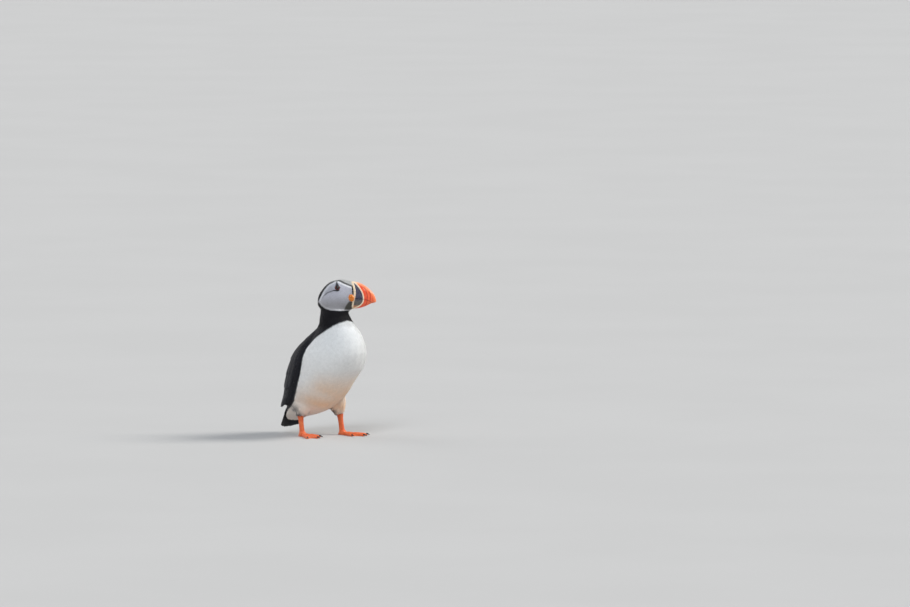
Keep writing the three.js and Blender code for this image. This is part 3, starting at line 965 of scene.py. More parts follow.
def feather_mesh(name, shaft, growth, pattern, rng, habit):
    """One mesh of all the feathers of a patch of coat."""
    places, ways, normals = shaft
    steps = places.shape[1] - 1
    count = len(growth.roots)
    stretch = np.clip(rng.normal(0, 0.06, (count, pattern.size)), -0.12, 0.12)
    along = pattern.along * (1 + stretch * pattern.loose)
    across = pattern.across * (1 + 1.5 * stretch[:, ::-1] * pattern.loose)
    at = np.clip(along, 0, 1) * steps
    first = np.minimum(at.astype(int), steps - 1)
    share = (along * steps - first)[..., None]
    row = np.arange(count)[:, None]

    def spot(values):
        return values[row, first] * (1 - share) + values[row, first + 1] * share

    middle, way, normal = spot(places), unit(spot(ways)), unit(spot(normals))
    side = np.cross(way, normal)
    own_rise = growth.rise * (1 + habit.uneven * rng.uniform(-1, 1, count))
    lift = own_rise[:, None] * (1 - 1.1 * np.clip(1 - along, 0, 1) ** habit.early)
    half = growth.width[:, None] * 0.5
    lift = lift - habit.curl * half * across**2
    if pattern.depth is not None:
        lift = lift - pattern.depth * QUILL_THICK * MM
    flat = middle + side * (across * half)[..., None]
    points = flat + normal * lift[..., None]

    offset = (np.arange(count) * pattern.size)[:, None, None]
    faces = [(pattern.quads + offset).reshape(-1, 4), (pattern.triangles + offset).reshape(-1, 3)]
    mesh = fill_mesh(name, points.reshape(-1, 3), faces)
    own = growth.painted(flat) * rng.normal(1, 0.02, (count, 1, 1))
    edge = 1 + (habit.tip_shade - 1) * np.clip(np.abs(across) ** 6 + ease(0.8, 1.05, along), 0, 1)
    paint(mesh, np.clip(own * edge[..., None], 0, 1).reshape(-1, 3))
    own = np.repeat(rng.random((count, 1)), pattern.size, 1)
    vane = np.stack([across * half / MM, along * growth.length[:, None] / MM, own], -1)
    keep_numbers(mesh, "vane", vane)
    number_coat(mesh, growth.roots, across, along)
    if pattern.depth is None:
        facing = unit(normal + side * (habit.fan * across)[..., None] + way * 0.1)
        mesh.normals_split_custom_set_from_vertices(facing.reshape(-1, 3).astype(np.float32))
    return mesh


def number_coat(mesh, roots, across, along):
    """Gives each feather its small patch of the OFBake map, at its root on the skin's unwrap."""
    unrolled = np.column_stack(SPINE_LINE.unroll(roots))
    low, high = unrolled.min(0), unrolled.max(0)
    start = 0.01 + 0.98 * (unrolled - low) / (high - low)
    spread = np.stack([across, along * 2 - 1], -1) * PATCH_SIZE / 2
    flat = np.clip(start[:, None] + spread, 0, 1).reshape(-1, 2)
    layer = mesh.uv_layers.new(name="OFBake")
    corners = read_all(mesh.loops, "vertex_index")
    layer.data.foreach_set("uv", flat[corners].astype(np.float32).ravel())


# ---------------------------------------------------------------- flight and tail feathers
def quill_pattern(rows, round_from):
    """A long closed vane, round at its tip: its upper face, its under face and its rim."""
    columns = [-1.0, -0.72, -0.4, -0.1, 0.0, 0.1, 0.4, 0.72, 1.0]
    points, depth = [], []
    for face in (0.0, 1.0):
        for at in 1 - (1 - np.linspace(0, 1, rows)) ** 1.7:
            tip = np.clip((at - round_from) / (1 - round_from), 0, 1)
            width = (0.3 + 0.7 * float(ease(0, 0.3, at))) * math.sqrt(max(1 - tip**2.4, 0.0))
            for column in columns:
                points.append((column * width, at - 0.02 * abs(column) * tip, 0.0))
                ridge = 0.45 if column == 0 else 0.0
                rim = 0.15 if abs(column) == 1 or at in (0, 1) else 1.0
                depth.append(face * rim if face else -ridge * (1 - 0.7 * at))
    count = len(columns)
    top = grid_faces(rows, count, False)
    under = top[:, ::-1] + rows * count
    border = list(range(count))
    border += [row * count + count - 1 for row in range(1, rows)]
    border += [(rows - 1) * count + k for k in range(count - 2, -1, -1)]
    border += [row * count for row in range(rows - 2, 0, -1)]
    here = np.array(border)
    after = np.roll(here, -1)
    rim = np.stack([here, here + rows * count, after + rows * count, after], -1)
    faces = [tuple(face) for face in np.concatenate([top[:, ::-1], under[:, ::-1], rim[:, ::-1]])]
    return Pattern(points, faces, depth)


QUILL = quill_pattern(26, 0.84)
TAIL_QUILL = quill_pattern(28, 0.93)


class Wing:
    """The outer face of a folded wing. A place on it is a share of the way from the shoulder to
    the tip, and a share of the way across from its lower edge to the edge on the back."""

    def __init__(self, side):
        self.side = SIDES[side]
        mesh = remeshed(joined_nodes(("wing_" + side,), 0.0), BODY_VOXEL * MM, 10)
        self.tree, self.normals, _ = search_tree(mesh, smooth_normals(mesh, 14))
        along, round_, _, _ = SPINE_LINE.place(mesh_points(mesh))
        self.start, self.end = along.min(), along.max()
        middles = np.linspace(self.start, self.end, 24)
        low, high = [], []
        for middle in middles:
            near = np.abs(along - middle) < 5
            low.append(round_[near].max())
            high.append(round_[near].min())
        self.middles, self.low, self.high = middles, np.array(low), np.array(high)

    def places(self, shares, across, sink):
        """Points and normals of the wing for lists of shares, sunk by so many millimetres."""
        along = mix(self.start, self.end, shares)
        low = np.interp(along, self.middles, self.low)
        high = np.interp(along, self.middles, self.high)
        angle = np.radians(mix(low, high, across))
        index = np.searchsorted(SPINE_LINE.length, along).clip(0, len(SPINE_LINE.points) - 1)
        out = SPINE_LINE.forward[index] * np.sin(angle)[:, None]
        out[:, 0] += self.side * np.cos(angle)
        out = BIRD.turned(out)
        inner = BIRD.outside(SPINE_LINE.points[index])
        points, normals = [], []
        skin = Bench.skin
        for start, way in zip(inner, out):
            from_far = Vector(start + way * WING_FAR), Vector(-way), WING_FAR
            hit, _, face, _ = self.tree.ray_cast(*from_far)
            reach = 0.0
            if hit is not None:
                reach = (np.array(hit) - start) @ way
            elif len(points) > 1:
                reach = (2 * points[-1] - points[-2] - start) @ way
            normals.append(way if hit is None else self.normals[face])
            under = skin.tree.ray_cast(*from_far)[0]
            if under is not None:
                reach = max(reach, (np.array(under) - start) @ way + COAT_DEPTH["body"] * MM)
            points.append(start + way * reach)
        points = smooth_line(np.array(points), 3)
        normals = unit(smooth_line(np.array(normals), 4))
        return points - normals * np.reshape(sink, (-1, 1)) * MM, normals


def smooth_line(points, rounds):
    """The places of a line, evened out but for its ends."""
    for _ in range(rounds):
        points[1:-1] = (points[:-2] + 2 * points[1:-1] + points[2:]) / 4
    return points


QUILL_STEPS = 14
WING_FAR = 0.12  # further from the spine than any place of a wing, in metres
WING_REACH = 0.962  # how near the wing's tip a feather may come, as a share of the way
# Rows of a folded wing, each from its lowest feather to its highest: how many feathers, where
# the two start ("from") and end ("to") as shares of the way to the tip and of the way across,
# how much further the middle ones reach ("bulge"), and in millimetres their width, how deep
# they lie ("sink") and how far their tips stand free.
WING_ROWS = {
    "primaries": {
        "count": 10, "from": [(0.52, 0.03), (0.60, 0.60)], "to": [(0.86, 0.10), (0.97, 0.62)],
        "bulge": 0.07, "width": (6.8, 8.6), "sink": (1.9, 1.5), "free": 2.6,
    },
    "tertials": {
        "count": 7, "from": [(0.60, 0.55), (0.58, 0.97)], "to": [(0.97, 0.66), (0.86, 0.97)],
        "bulge": 0.0, "width": (8.4, 7.4), "sink": (1.4, 1.1), "free": 1.2,
    },
    "secondaries": {
        "count": 18, "from": [(0.30, 0.05), (0.36, 0.93)], "to": [(0.64, 0.05), (0.80, 0.90)],
        "bulge": 0.02, "width": (7.6, 9.4), "sink": (1.25, 0.7),
    },
    "greater_coverts": {
        "count": 22, "from": [(0.28, 0.07), (0.32, 0.97)], "to": [(0.48, 0.06), (0.60, 0.96)],
        "bulge": 0.02, "width": (5.8, 7.2), "sink": (0.8, 0.35),
    },
    "median_coverts": {
        "count": 24, "from": [(0.24, 0.10), (0.27, 0.98)], "to": [(0.39, 0.08), (0.47, 0.98)],
        "bulge": 0.01, "width": (5.2, 6.4), "sink": (0.45, 0.1),
    },
}


def quill_growth(shafts_of, widths, rng):
    """A row for each long feather, from its shaft and width."""
    black = np.array(looks().black)
    roots = shafts_of[0][:, 0]
    length = np.linalg.norm(np.diff(shafts_of[0], axis=1), axis=2).sum(1) / MM
    colours = black * rng.normal(1.25, 0.12, (len(roots), 1))
    nothing = np.zeros(len(roots))
    return Growth(roots, shafts_of[2][:, 0], length, widths, nothing, colours=colours)


def line_shafts(lines, normals):
    """Shafts (places, directions, normals) along given lines."""
    lines = np.array(lines)
    ways = unit(np.gradient(lines, axis=1))
    return lines, ways, np.array(normals)


def wing_shafts(wing, row, rng):
    """The shafts and widths of one row of a folded wing's feathers, the undermost first."""
    lines, normals, widths = [], [], []
    for share in np.linspace(0, 1, row["count"]):
        start = mix(np.array(row["from"][0]), np.array(row["from"][1]), share)
        end = mix(np.array(row["to"][0]), np.array(row["to"][1]), share)
        end = end + rng.normal(0, (0.013, 0.008))
        end[0] += row["bulge"] * math.sin(math.pi * share)
        step = np.linspace(0, 1, QUILL_STEPS)
        across = mix(start[1], end[1], step**1.3)
        along = mix(start[0], min(end[0], WING_REACH), step)
        sink = mix(row["sink"][0], row["sink"][1], share) + mix(1.1, 0.0, step**0.7)
        sink = sink - row.get("free", 0) * mix(0.6, 1.0, share) * ease(0.72, 1.0, step)
        line, normal = wing.places(along, across, sink)
        lines.append(line)
        normals.append(normal)
        widths.append(mix(row["width"][0], row["width"][1], share))
    return line_shafts(lines, normals), np.array(widths)


# The tail's middle line from its root to its tip (forward and up), halves of its width there,
# and how far its outer feathers lie under the middle ones.
TAIL = {"base": (-55.5, 61.0), "tip": (-76.5, 7.5), "base_half": 9.0, "tip_half": 20.3, "roof": 4.5}
TAIL_FEATHERS = 14
TAIL_FEATHER_WIDTH = 9.5


def tail_shafts(rng):
    """The shafts of the fanned tail, from its outer feathers to the two in the middle."""
    base, tip = np.array(TAIL["base"]), np.array(TAIL["tip"])
    way = unit(tip - base)
    above = np.array([way[1], -way[0]])
    lines, normals = [], []
    pairs = TAIL_FEATHERS // 2
    for pair in range(pairs):
        for side in (-1, 1):
            span = side * (1 - (pair + 0.5) / pairs)
            step = np.linspace(0, 1, QUILL_STEPS)
            reach = step * (1 - 0.09 * abs(span) ** 2.2 - rng.uniform(0, 0.02))
            middle = base + (tip - base) * reach[:, None]
            lift = -TAIL["roof"] * span**2 * step + 0.9 * (pair / pairs - 0.5)
            middle = middle + above * lift[:, None]
            half = mix(TAIL["base_half"], TAIL["tip_half"], reach**0.8)
            lines.append(BIRD.outside(np.column_stack([half * span, middle])))
            tilt = np.array([2 * TAIL["roof"] * span / TAIL["tip_half"], above[0], above[1]])
            normals.append(np.tile(BIRD.turned(unit(tilt)), (QUILL_STEPS, 1)))
    return line_shafts(lines, normals)


# ---------------------------------------------------------------- bill, in the head's millimetres
CULMEN = [(20, 18.5), (24, 20), (32, 19), (40, 15.2), (48, 9.2), (54.5, 1.5), (57.6, -7.5)]
GONYS = [
    (20, -17.0), (24, -17.9), (31, -17.6), (37, -16.4), (43, -14.2), (49, -11.4), (56.9, -9.0)
]
MOUTH = [(20, -2.6), (30, -3.4), (38, -4.2), (46, -6.2), (51, -9.4), (54.5, -14), (56, -18)]
BILL_HALF_WIDTHS = [7.9, 8.6, 8, 6.9, 5.4, 3.7, 1.5]
BILL_SQUARE = 0.8
BILL_NARROW_TOP = 0.16
# The cream ridge between the blue and the red plates, drawn out past the bill's edges.
CHEVRON = [
    (18, 26), (27.3, 19), (31, 15.4), (34.8, 10.6), (38.5, 3.5), (39.6, -3), (38.6, -8.6),
    (34.8, -13), (28.5, -16.4), (20, -19),
]
NOSTRIL = [(31.0, -1.7), (34, -2.0), (36.4, -2.5)]
GROOVES = (5.4, 9.8)  # how far ahead of the cream ridge
MOUTH_GAP = 0.1  # between each half and the mouth's line
LOWER_END = 0.93  # how near the underside the mouth may come before the lower half ends
TIP_FROM = 0.955  # where the bill's blunt tip starts, as a share of its length
BILL_ROWS = 150
BILL_COLUMNS = 46


def signed_distance(line, places):
    """How far flat places are from a line, and less than zero behind it."""
    line = np.asarray(line, float)
    order = np.argsort(line[:, 1])
    ahead = places[:, 0] > np.interp(places[:, 1], line[order, 1], line[order, 0])
    return np.where(ahead, 1, -1) * line_distance(line, places)


def bill_outline(along):
    """The bill's top and underside, and half its width, for shares of its length."""
    return (curve_at(line, along) for line in (CULMEN, GONYS, BILL_HALF_WIDTHS))


def mouth_share(top, low):
    """Where on the way from the top to the low outline the mouth lies; 1 where it doesn't."""
    share = np.linspace(0, 1, 160)
    spots = top[:, None] + (low - top)[:, None] * share[:, None]
    line = curve_through(MOUTH, 80)
    over = spots[..., 1] - np.interp(spots[..., 0], line[:, 0], line[:, 1])
    return np.where((over < 0).any(1), share[(over < 0).argmax(1)], 1.0)


def bill_places(top, low, half, angles):
    """Places of the bill's side, where 90 degrees is the culmen and -90 the underside."""
    lean = np.sin(angles)
    flat = top[:, None] + (low - top)[:, None] * ((1 - lean) / 2)[..., None]
    aside = np.clip(np.cos(angles), 0, 1) ** BILL_SQUARE * (1 - BILL_NARROW_TOP * lean)
    return np.stack([flat[..., 0], aside * half, flat[..., 1]], -1)


def mandible(upper):
    """Rings of the upper or the lower half of the bill, from its base to its tip."""
    top, low, half = bill_outline(np.linspace(0, 1, BILL_ROWS))
    share = mouth_share(top, low)
    gap = MOUTH_GAP / np.linalg.norm(low - top, axis=1)
    if upper:
        mouth = np.arcsin(1 - 2 * np.clip(share - gap * (share < 1), 0, 1))
        start = np.full(BILL_ROWS, math.pi / 2)
    else:
        present = share < LOWER_END
        top, low, half, share, gap = (v[present] for v in (top, low, half, share, gap))
        mouth = np.arcsin(1 - 2 * np.clip(share + gap, 0, 1))
        start = np.full(present.sum(), -math.pi / 2)
    way = np.linspace(0, 1, BILL_COLUMNS)
    side = bill_places(top, low, half, start[:, None] + (mouth - start)[:, None] * way)
    edge = np.linalg.norm(side - side[:, -1:], axis=-1)
    side[..., 1] = np.maximum(side[..., 1] - 0.35 * np.exp(-((edge / 0.3) ** 2)), 0)
    blunt = ease(TIP_FROM, 1.0, np.linspace(0, 1, len(top)))
    blunt = np.sqrt(np.clip(1 - blunt**2, 0.02, 1))
    middle = side.mean(1, keepdims=True) * [1, 0, 1]
    side = middle + (side - middle) * blunt[:, None, None]

    across = np.linspace(1, -1, 9)[1:-1]
    roof = side[:, -1:] * np.stack([np.ones(7), across, np.ones(7)], -1)
    roof[..., 2] -= (0.15 if upper else 0.3) * side[:, -1:, 1] * (1 - across**2)
    other = side * [1, -1, 1]
    return np.concatenate([side, roof, other[:, ::-1][:, :-1]], 1)


def bill_measures(places):
    """For places of the bill: how far ahead of the cream ridge, under the culmen and over the mouth."""
    flat = places[:, [0, 2]]
    ridge = signed_distance(curve_through(CHEVRON, 60), flat)
    culmen = line_distance(curve_through(CULMEN, 60), flat)
    mouth = curve_through(MOUTH, 60)
    lips = flat[:, 1] - np.interp(flat[:, 0], mouth[:, 0], mouth[:, 1])
    return ridge, culmen, lips


def bill_relief(places):
    """How far each place of the bill stands out from its plain form."""
    ridge, culmen, lips = bill_measures(places)
    flat = places[:, [0, 2]]
    sides = ease(1.2, 3.2, culmen)
    sides = sides * ease(0.2, 1.8, line_distance(curve_through(GONYS, 60), flat))
    relief = 0.5 * np.exp(-((ridge / 0.9) ** 2))
    for groove in GROOVES:
        cut = np.exp(-(((ridge - groove) / 0.45) ** 2))
        swell = np.exp(-(((ridge - groove - 1.3) / 1.0) ** 2))
        relief += (0.16 * swell - 0.42 * cut) * sides * ease(0.3, 1.0, np.abs(lips))
    relief += 0.22 * ease(3.0, 1.8, culmen) * ease(-1, 3, ridge)
    rim = ahead_of_rim(places[:, 0], places[:, 2])
    plate = ease(-1.0, -3.0, ridge) * ease(0.8, 2.2, rim)
    relief -= 0.35 * plate * sides
    relief -= 0.6 * ease(0.6, 0.1, line_distance(NOSTRIL, flat))
    relief += 0.04 * np.sin(ridge * 2 * math.pi / 1.1) * ease(1, 2, ridge) * sides
    relief += 0.35 * ease(1.7, 1.1, np.abs(rim)) * ease(-3, -6, places[:, 2])
    return relief + 0.05 * wobble(places, 4.0, 21)


def bill_material():
    """Horn in plates: slate blue, a cream ridge and grooved orange red."""
    recipe = Recipe("bill_horn", Roughness=0.36, Coat_Weight=0.25, Coat_Roughness=0.3)
    bill = bpy.context.scene.puffin.bill
    ridge, culmen, lips = recipe.numbers("plan")
    rim, height, nostril = recipe.numbers("spot")
    cloud = recipe.noise(500.0)
    patchy = recipe.noise(160.0, 2.0)
    ridge = recipe.step("ADD", ridge, recipe.scaled(cloud, 0.5, -0.25))

    slate = recipe.blend(recipe.span(height, -2.0, -9.0), bill.slate, bill.slate_low)
    slate = recipe.blend(recipe.span(height, -11.5, -15.5), slate, bill.chin_edge)
    slate = recipe.blend(recipe.span(cloud, 0.3, 0.75, 0.0, 0.08), slate, bill.cream)

    red = recipe.blend(recipe.span(patchy, 0.35, 0.7, 0.0, 0.55), bill.red, bill.red_light)
    # painted sun highlight along the top of the red plate
    red = recipe.blend(recipe.span(culmen, 4.0, 1.6, 0.0, 0.75), red, bill.culmen)
    for groove in GROOVES:
        # painted shade at the bottom of each groove
        cut = recipe.span(recipe.gap(ridge, groove), 0.9, 0.15)
        side = recipe.times(recipe.span(culmen, 1.2, 3.2), cut)
        red = recipe.blend(recipe.times(side, 0.8), red, bill.groove)
        # a painted highlight on the raised ridge beside each groove
        pale = recipe.span(recipe.gap(ridge, groove + 1.4), 1.0, 0.2, 0.0, 0.35)
        red = recipe.blend(pale, red, bill.culmen)
    tip = recipe.times(recipe.span(height, -4.0, -10.0), recipe.span(ridge, 5.0, 12.0))
    red = recipe.blend(recipe.times(tip, 0.5), red, bill.culmen)

    colour = recipe.blend(recipe.span(ridge, 0.35, 0.85), slate, red)
    colour = recipe.blend(recipe.span(recipe.gap(ridge, -0.1), 1.15, 0.6), colour, bill.cream)
    top = recipe.times(recipe.span(culmen, 2.0, 1.0), recipe.span(ridge, 7.0, -1.0))
    colour = recipe.blend(recipe.times(top, 0.8), colour, bill.cream)
    base = recipe.times(recipe.span(rim, 1.7, 1.3), recipe.span(height, -4.0, -6.5))
    colour = recipe.blend(base, colour, bill.cream)
    colour = recipe.blend(recipe.span(rim, -1.3, -1.7), colour, (0.03, 0.03, 0.03))
    colour = recipe.blend(recipe.span(nostril, 0.6, 0.1, 0.0, 0.8), colour, (0.01, 0.009, 0.012))
    lip = recipe.span(recipe.step("ABSOLUTE", lips), 0.4, 0.12, 0.0, 0.7)
    colour = recipe.blend(lip, colour, (0.06, 0.018, 0.012))
    fine = recipe.step("SINE", recipe.times(ridge, 14.0))
    recipe.bump(recipe.scaled(fine, 0.25, recipe.noise(1800.0)), 0.1, 0.35)
    return recipe.coloured(colour)


def round_bill(ahead, angle):
    """Places round the bill's base, and which way is out. An angle of 90 degrees is the top."""
    top, low, half = bill_outline(np.linspace(0, 0.4, 60))
    lean, turn = np.sin(angle), np.cos(angle)
    high, deep = (np.interp(ahead, line[:, 0], line[:, 1]) for line in (top, low))
    wide = np.interp(ahead, top[:, 0], half[:, 0]) * (1 - BILL_NARROW_TOP * lean)
    aside = np.sign(turn) * np.abs(turn) ** BILL_SQUARE * wide
    places = np.stack([ahead, aside, mix(deep, high, (1 + lean) / 2)], -1)
    return places, np.stack([np.zeros_like(ahead), turn, lean], -1)


def cere_rings():
    """Rings of the fleshy rim round the bill's base, from one side over the top to the other."""
    columns = 19
    angle = np.radians(np.linspace(-27, 207, 110))[:, None]
    way = np.linspace(0, 1, columns)
    height = round_bill(np.full(angle.shape, 26.0), angle)[0][..., 2]
    ahead = RIM_HALF * (2 * way - 1) - ahead_of_rim(0.0, height)
    outer, out = round_bill(ahead, angle + 0 * way)
    swell = RIM_SWELL * np.sin(math.pi * (0.15 + 0.85 * way)) ** 0.5
    end = ease(-0.46, -0.3, np.sin(angle)) ** 0.5
    inner = outer[:, ::-2] - out[:, ::-2] * 0.8
    return np.concatenate([outer + out * (swell * end - 0.1)[..., None], inner], 1)


BRIDLE_ROWS = (-1.25, -1.75, -2.4, -3.2, -4.1)  # ahead of the middle of the fleshy rim
BRIDLE_FEATHERS = 140


def bridle(rng):
    """Roots and normals of the small feathers that close up to the bill."""
    places, normals = [], []
    for number, back in enumerate(BRIDLE_ROWS):
        angle = np.arange(BRIDLE_FEATHERS) + rng.uniform(0, 0.8, BRIDLE_FEATHERS)
        angle = angle * 2 * math.pi / BRIDLE_FEATHERS
        height = round_bill(np.full(BRIDLE_FEATHERS, 25.0), angle)[0][:, 2]
        back = back + rng.normal(0, 0.13, BRIDLE_FEATHERS)
        at, out = round_bill(back - ahead_of_rim(0.0, height), angle)
        places.append(HEAD.outside(at + out * (0.15 * (number + 1))))
        normals.append(HEAD.turned(unit(out)))
    return np.concatenate(places), np.concatenate(normals)


def cere_material():
    """Pale pitted skin."""
    bill = bpy.context.scene.puffin.bill
    recipe = Recipe("cere", Roughness=0.5, Subsurface_Weight=0.1,
                    Subsurface_Radius=(0.002, 0.001, 0.0006))
    pits = recipe.cells(1500.0)
    hole = recipe.span(pits, 0.05, 0.35, 1.0, 0.0)
    cloud = recipe.span(recipe.noise(400.0), 0.35, 0.7, 0.0, 0.6)
    colour = recipe.blend(cloud, bill.cream, (0.72, 0.52, 0.36))
    recipe.bump(pits, 0.2, 0.6)
    return recipe.coloured(recipe.blend(recipe.times(hole, 0.5), colour, (0.22, 0.13, 0.08)))


def head_piece(name, rings, relief):
    """A closed form through rings of the head's millimetres, with fine relief."""
    mesh = ringed_mesh(name, HEAD.outside(rings))
    points = mesh_points(mesh)
    height = relief(HEAD.inside(points))
    move_points(mesh, points + smooth_normals(mesh, 1) * height[:, None] * MM)
    return mesh


def mandible_piece(name, upper):
    """One half of the bill, with the measures that its colours are drawn by."""
    mesh = head_piece(name, mandible(upper), bill_relief)
    places = HEAD.inside(mesh_points(mesh))
    keep_numbers(mesh, "plan", np.column_stack(bill_measures(places)))
    nostril = line_distance(NOSTRIL, places[:, [0, 2]])
    rim = ahead_of_rim(places[:, 0], places[:, 2])
    keep_numbers(mesh, "spot", np.column_stack([rim, places[:, 2], nostril]))
    return mesh


# ---------------------------------------------------------------- eyes and mouth corners
EYE_RADIUS = 4.3
EYE_FRONT = 0.22  # how far its clear front stands out
LID_OPENING = 2.6  # half the width of the eye that shows
LID_THICK = 0.34
# Bare dark plates over and under the eye: ahead of and above its middle.
UPPER_PLATE = [
    (-2.7, 1.7), (-2.5, 3.3), (-1.9, 5.0), (-1.4, 6.7), (-0.8, 8.3), (-0.1, 6.7), (0.6, 5.0),
    (1.5, 3.3), (2.4, 1.7), (0.0, 2.5),
]
LOWER_PLATE = [
    (-6.0, -2.9), (-3.0, -2.5), (-0.4, -3.0), (2.0, -2.3), (2.5, -3.2), (0.2, -4.2), (-3.0, -4.0),
    (-5.8, -3.6),
]
ROSETTE = {"ahead": 4.5, "out": 2.3, "up": 5.1}  # halves of its size
ROSETTE_SHIFT = (0.2, 0.25, 0.6)  # from its solid's middle: ahead, out and up


def eyeball(name, centre, axis):
    """A wet ball whose clear front stands out a little, with the place of its iris."""
    turns, rings = 64, 40
    first, second = square_to(axis)
    polar = np.linspace(0.02, math.pi - 0.02, rings)
    angle = all_round(turns)
    radius = EYE_RADIUS + EYE_FRONT * ease(0.62, 0.2, polar)
    flat = np.cos(angle)[:, None] * first + np.sin(angle)[:, None] * second
    ball = np.cos(polar)[:, None, None] * axis + np.sin(polar)[:, None, None] * flat
    mesh = ringed_mesh(name, centre + ball * radius[:, None, None] * MM)
    away = np.degrees(np.arccos(np.clip(unit(mesh_points(mesh) - centre) @ axis, -1, 1)))
    keep_numbers(mesh, "iris", np.column_stack([away, away * 0, away * 0]))
    return mesh


def eye_material():
    """A black pupil in a dark brown iris, under a clear gloss."""
    recipe = Recipe("eye", Roughness=0.2, Specular_IOR_Level=0.1, Coat_Weight=0.75,
                    Coat_Roughness=0.02)
    away = recipe.numbers("iris")[0]
    brown = recipe.blend(recipe.noise(3000.0, 2.0), (0.014, 0.006, 0.004), (0.050, 0.020, 0.011))
    colour = recipe.blend(recipe.span(away, 20.0, 22.0), (0.002, 0.002, 0.002), brown)
    return recipe.coloured(recipe.blend(recipe.span(away, 34.0, 38.0), colour, (0.012, 0.008, 0.008)))


def lid_rings(centre, axis):
    """A rounded fold of skin round the opening of the eye."""
    first, second = square_to(axis)
    height = math.sqrt(EYE_RADIUS**2 - LID_OPENING**2)
    rings = []
    for angle in all_round(96):
        out = math.cos(angle) * first + math.sin(angle) * second
        crease = 1 + 0.10 * math.sin(angle * 23) + 0.06 * math.sin(angle * 41 + 1)
        loop = []
        for turn in all_round(14):
            across = LID_THICK * (1.25 * math.cos(turn) + 0.9)
            rise = LID_THICK * crease * math.sin(turn) - 0.35 * max(math.cos(turn), 0)
            loop.append(out * (LID_OPENING + across) + axis * (height + rise + 0.12))
        rings.append(centre + np.array(loop) * MM)
    return np.array(rings)


def looped_mesh(name, rings):
    """A closed ring through loops of points, whose last loop joins the first."""
    rows, around, _ = rings.shape
    faces = grid_faces(rows + 1, around, True) % (rows * around)
    points = rings.reshape(-1, 3)
    return fill_mesh(name, points, outward(points - points.mean(0), [faces]))


def plate_mesh(name, skin, eye, side, outline, height):
    """A low bare plate of skin, with its outline given from the middle of the eye."""
    edge = curve_through([*outline, outline[0]], 61)[:-1]
    middle = edge.mean(0)
    steps = np.array([0.03, 0.3, 0.55, 0.75, 0.88, 0.96, 1.0])
    top = middle + (edge - middle) * steps[:, None, None]
    rise = height * np.sqrt(np.clip(1 - steps**4, 0, 1)) + 0.25
    flat = np.concatenate([top, top[::-1]])
    lift = np.concatenate([rise, np.full(len(steps), -0.9)])
    places = HEAD.inside(eye)[[0, 2]] + flat
    found, normals = skin.beside(places.reshape(-1, 2), side)
    cover = COAT_DEPTH["head"] * MM
    points = found + normals * (cover + np.repeat(lift, len(edge)) * MM)[:, None]
    return ringed_mesh(name, points.reshape(len(flat), len(edge), 3))


def bare_skin_material(name, first, second, size, gloss):
    """Bare skin with fine wrinkles: the first colour in their hollows, the second on their crests."""
    recipe = Recipe(name, Roughness=gloss, Subsurface_Weight=0.08,
                    Subsurface_Radius=(0.002, 0.0008, 0.0004))
    ridge = recipe.span(recipe.noise(size, 4.0), 0.32, 0.62)
    share = recipe.times(ridge, recipe.span(recipe.noise(size * 0.4), 0.3, 0.7, 0.6, 1.0))
    recipe.bump(ridge, 0.15, 0.5)
    return recipe.coloured(recipe.blend(share, first, second))


def rosette_rings(side):
    """Rings of the folded fleshy rosette at a corner of the mouth."""
    middle = HEAD.inside(middle_of("gape_" + side))
    out_way = SIDES[side]
    rings = []
    for polar in np.linspace(0.04, math.pi - 0.04, 44):
        loop = []
        for angle in all_round(72):
            reach = math.sin(polar)
            ahead, up = reach * math.cos(angle), reach * math.sin(angle)
            fold = 0.16 * math.sin(9.5 * reach + 1.3 * math.sin(2 * angle)) * reach
            fold += 0.05 * math.sin(11 * angle) * reach**2
            slit = 0.55 * math.exp(-((up + 0.1 * ahead) / 0.10) ** 2) * float(ease(-0.75, -0.4, ahead))
            out = math.cos(polar) * (1 + fold - slit) if polar < math.pi / 2 else math.cos(polar)
            grow = 1 + 0.04 * math.sin(7 * angle)
            loop.append((
                middle[0] + ROSETTE["ahead"] * ahead * grow - 0.12 * ROSETTE["up"] * up + ROSETTE_SHIFT[0],
                middle[1] + out_way * (ROSETTE["out"] * out + ROSETTE_SHIFT[1]),
                middle[2] + ROSETTE["up"] * up * grow + ROSETTE_SHIFT[2],
            ))
        rings.append(loop)
    return np.array(rings)


# ---------------------------------------------------------------- legs and feet
LEG_SWELL = 0.25
LEG_VOXEL = 0.42
SCUTE_LENGTH = 1.9
WEB_FOLD = 1.5
SOLE_REACH = 0.35  # how near the floor the skin is pressed flat on it
CLAW_SWELL = 0.06


def toe_lines(side):
    """Each toe's line on the floor, from the ankle to the root of its claw, in metres."""
    ankle = middle_of("tarsus_" + side)[:2]
    ends = []
    for toe in TOES:
        claw = middle_of(f"claw_{toe}_{side}")[:2]
        ends.append(ankle + (claw - ankle) * 0.97)
    return ankle, ends


def foot_measures(points, side):
    """For places of a leg: along and across the nearest toe (mm), and height (mm)."""
    ankle, ends = toe_lines(side)
    flat = points[:, :2] - ankle
    nearest = np.full(len(points), np.inf)
    along, across = np.zeros(len(points)), np.zeros(len(points))
    for end in ends:
        way = unit(end - ankle)
        on = flat @ way
        off = flat @ np.array([-way[1], way[0]])
        reach = np.where(on > 0, np.abs(off), np.hypot(on, off))
        near = reach < nearest
        nearest = np.where(near, reach, nearest)
        along, across = np.where(near, on, along), np.where(near, off, across)
    return along / MM, across / MM, points[:, 2] / MM


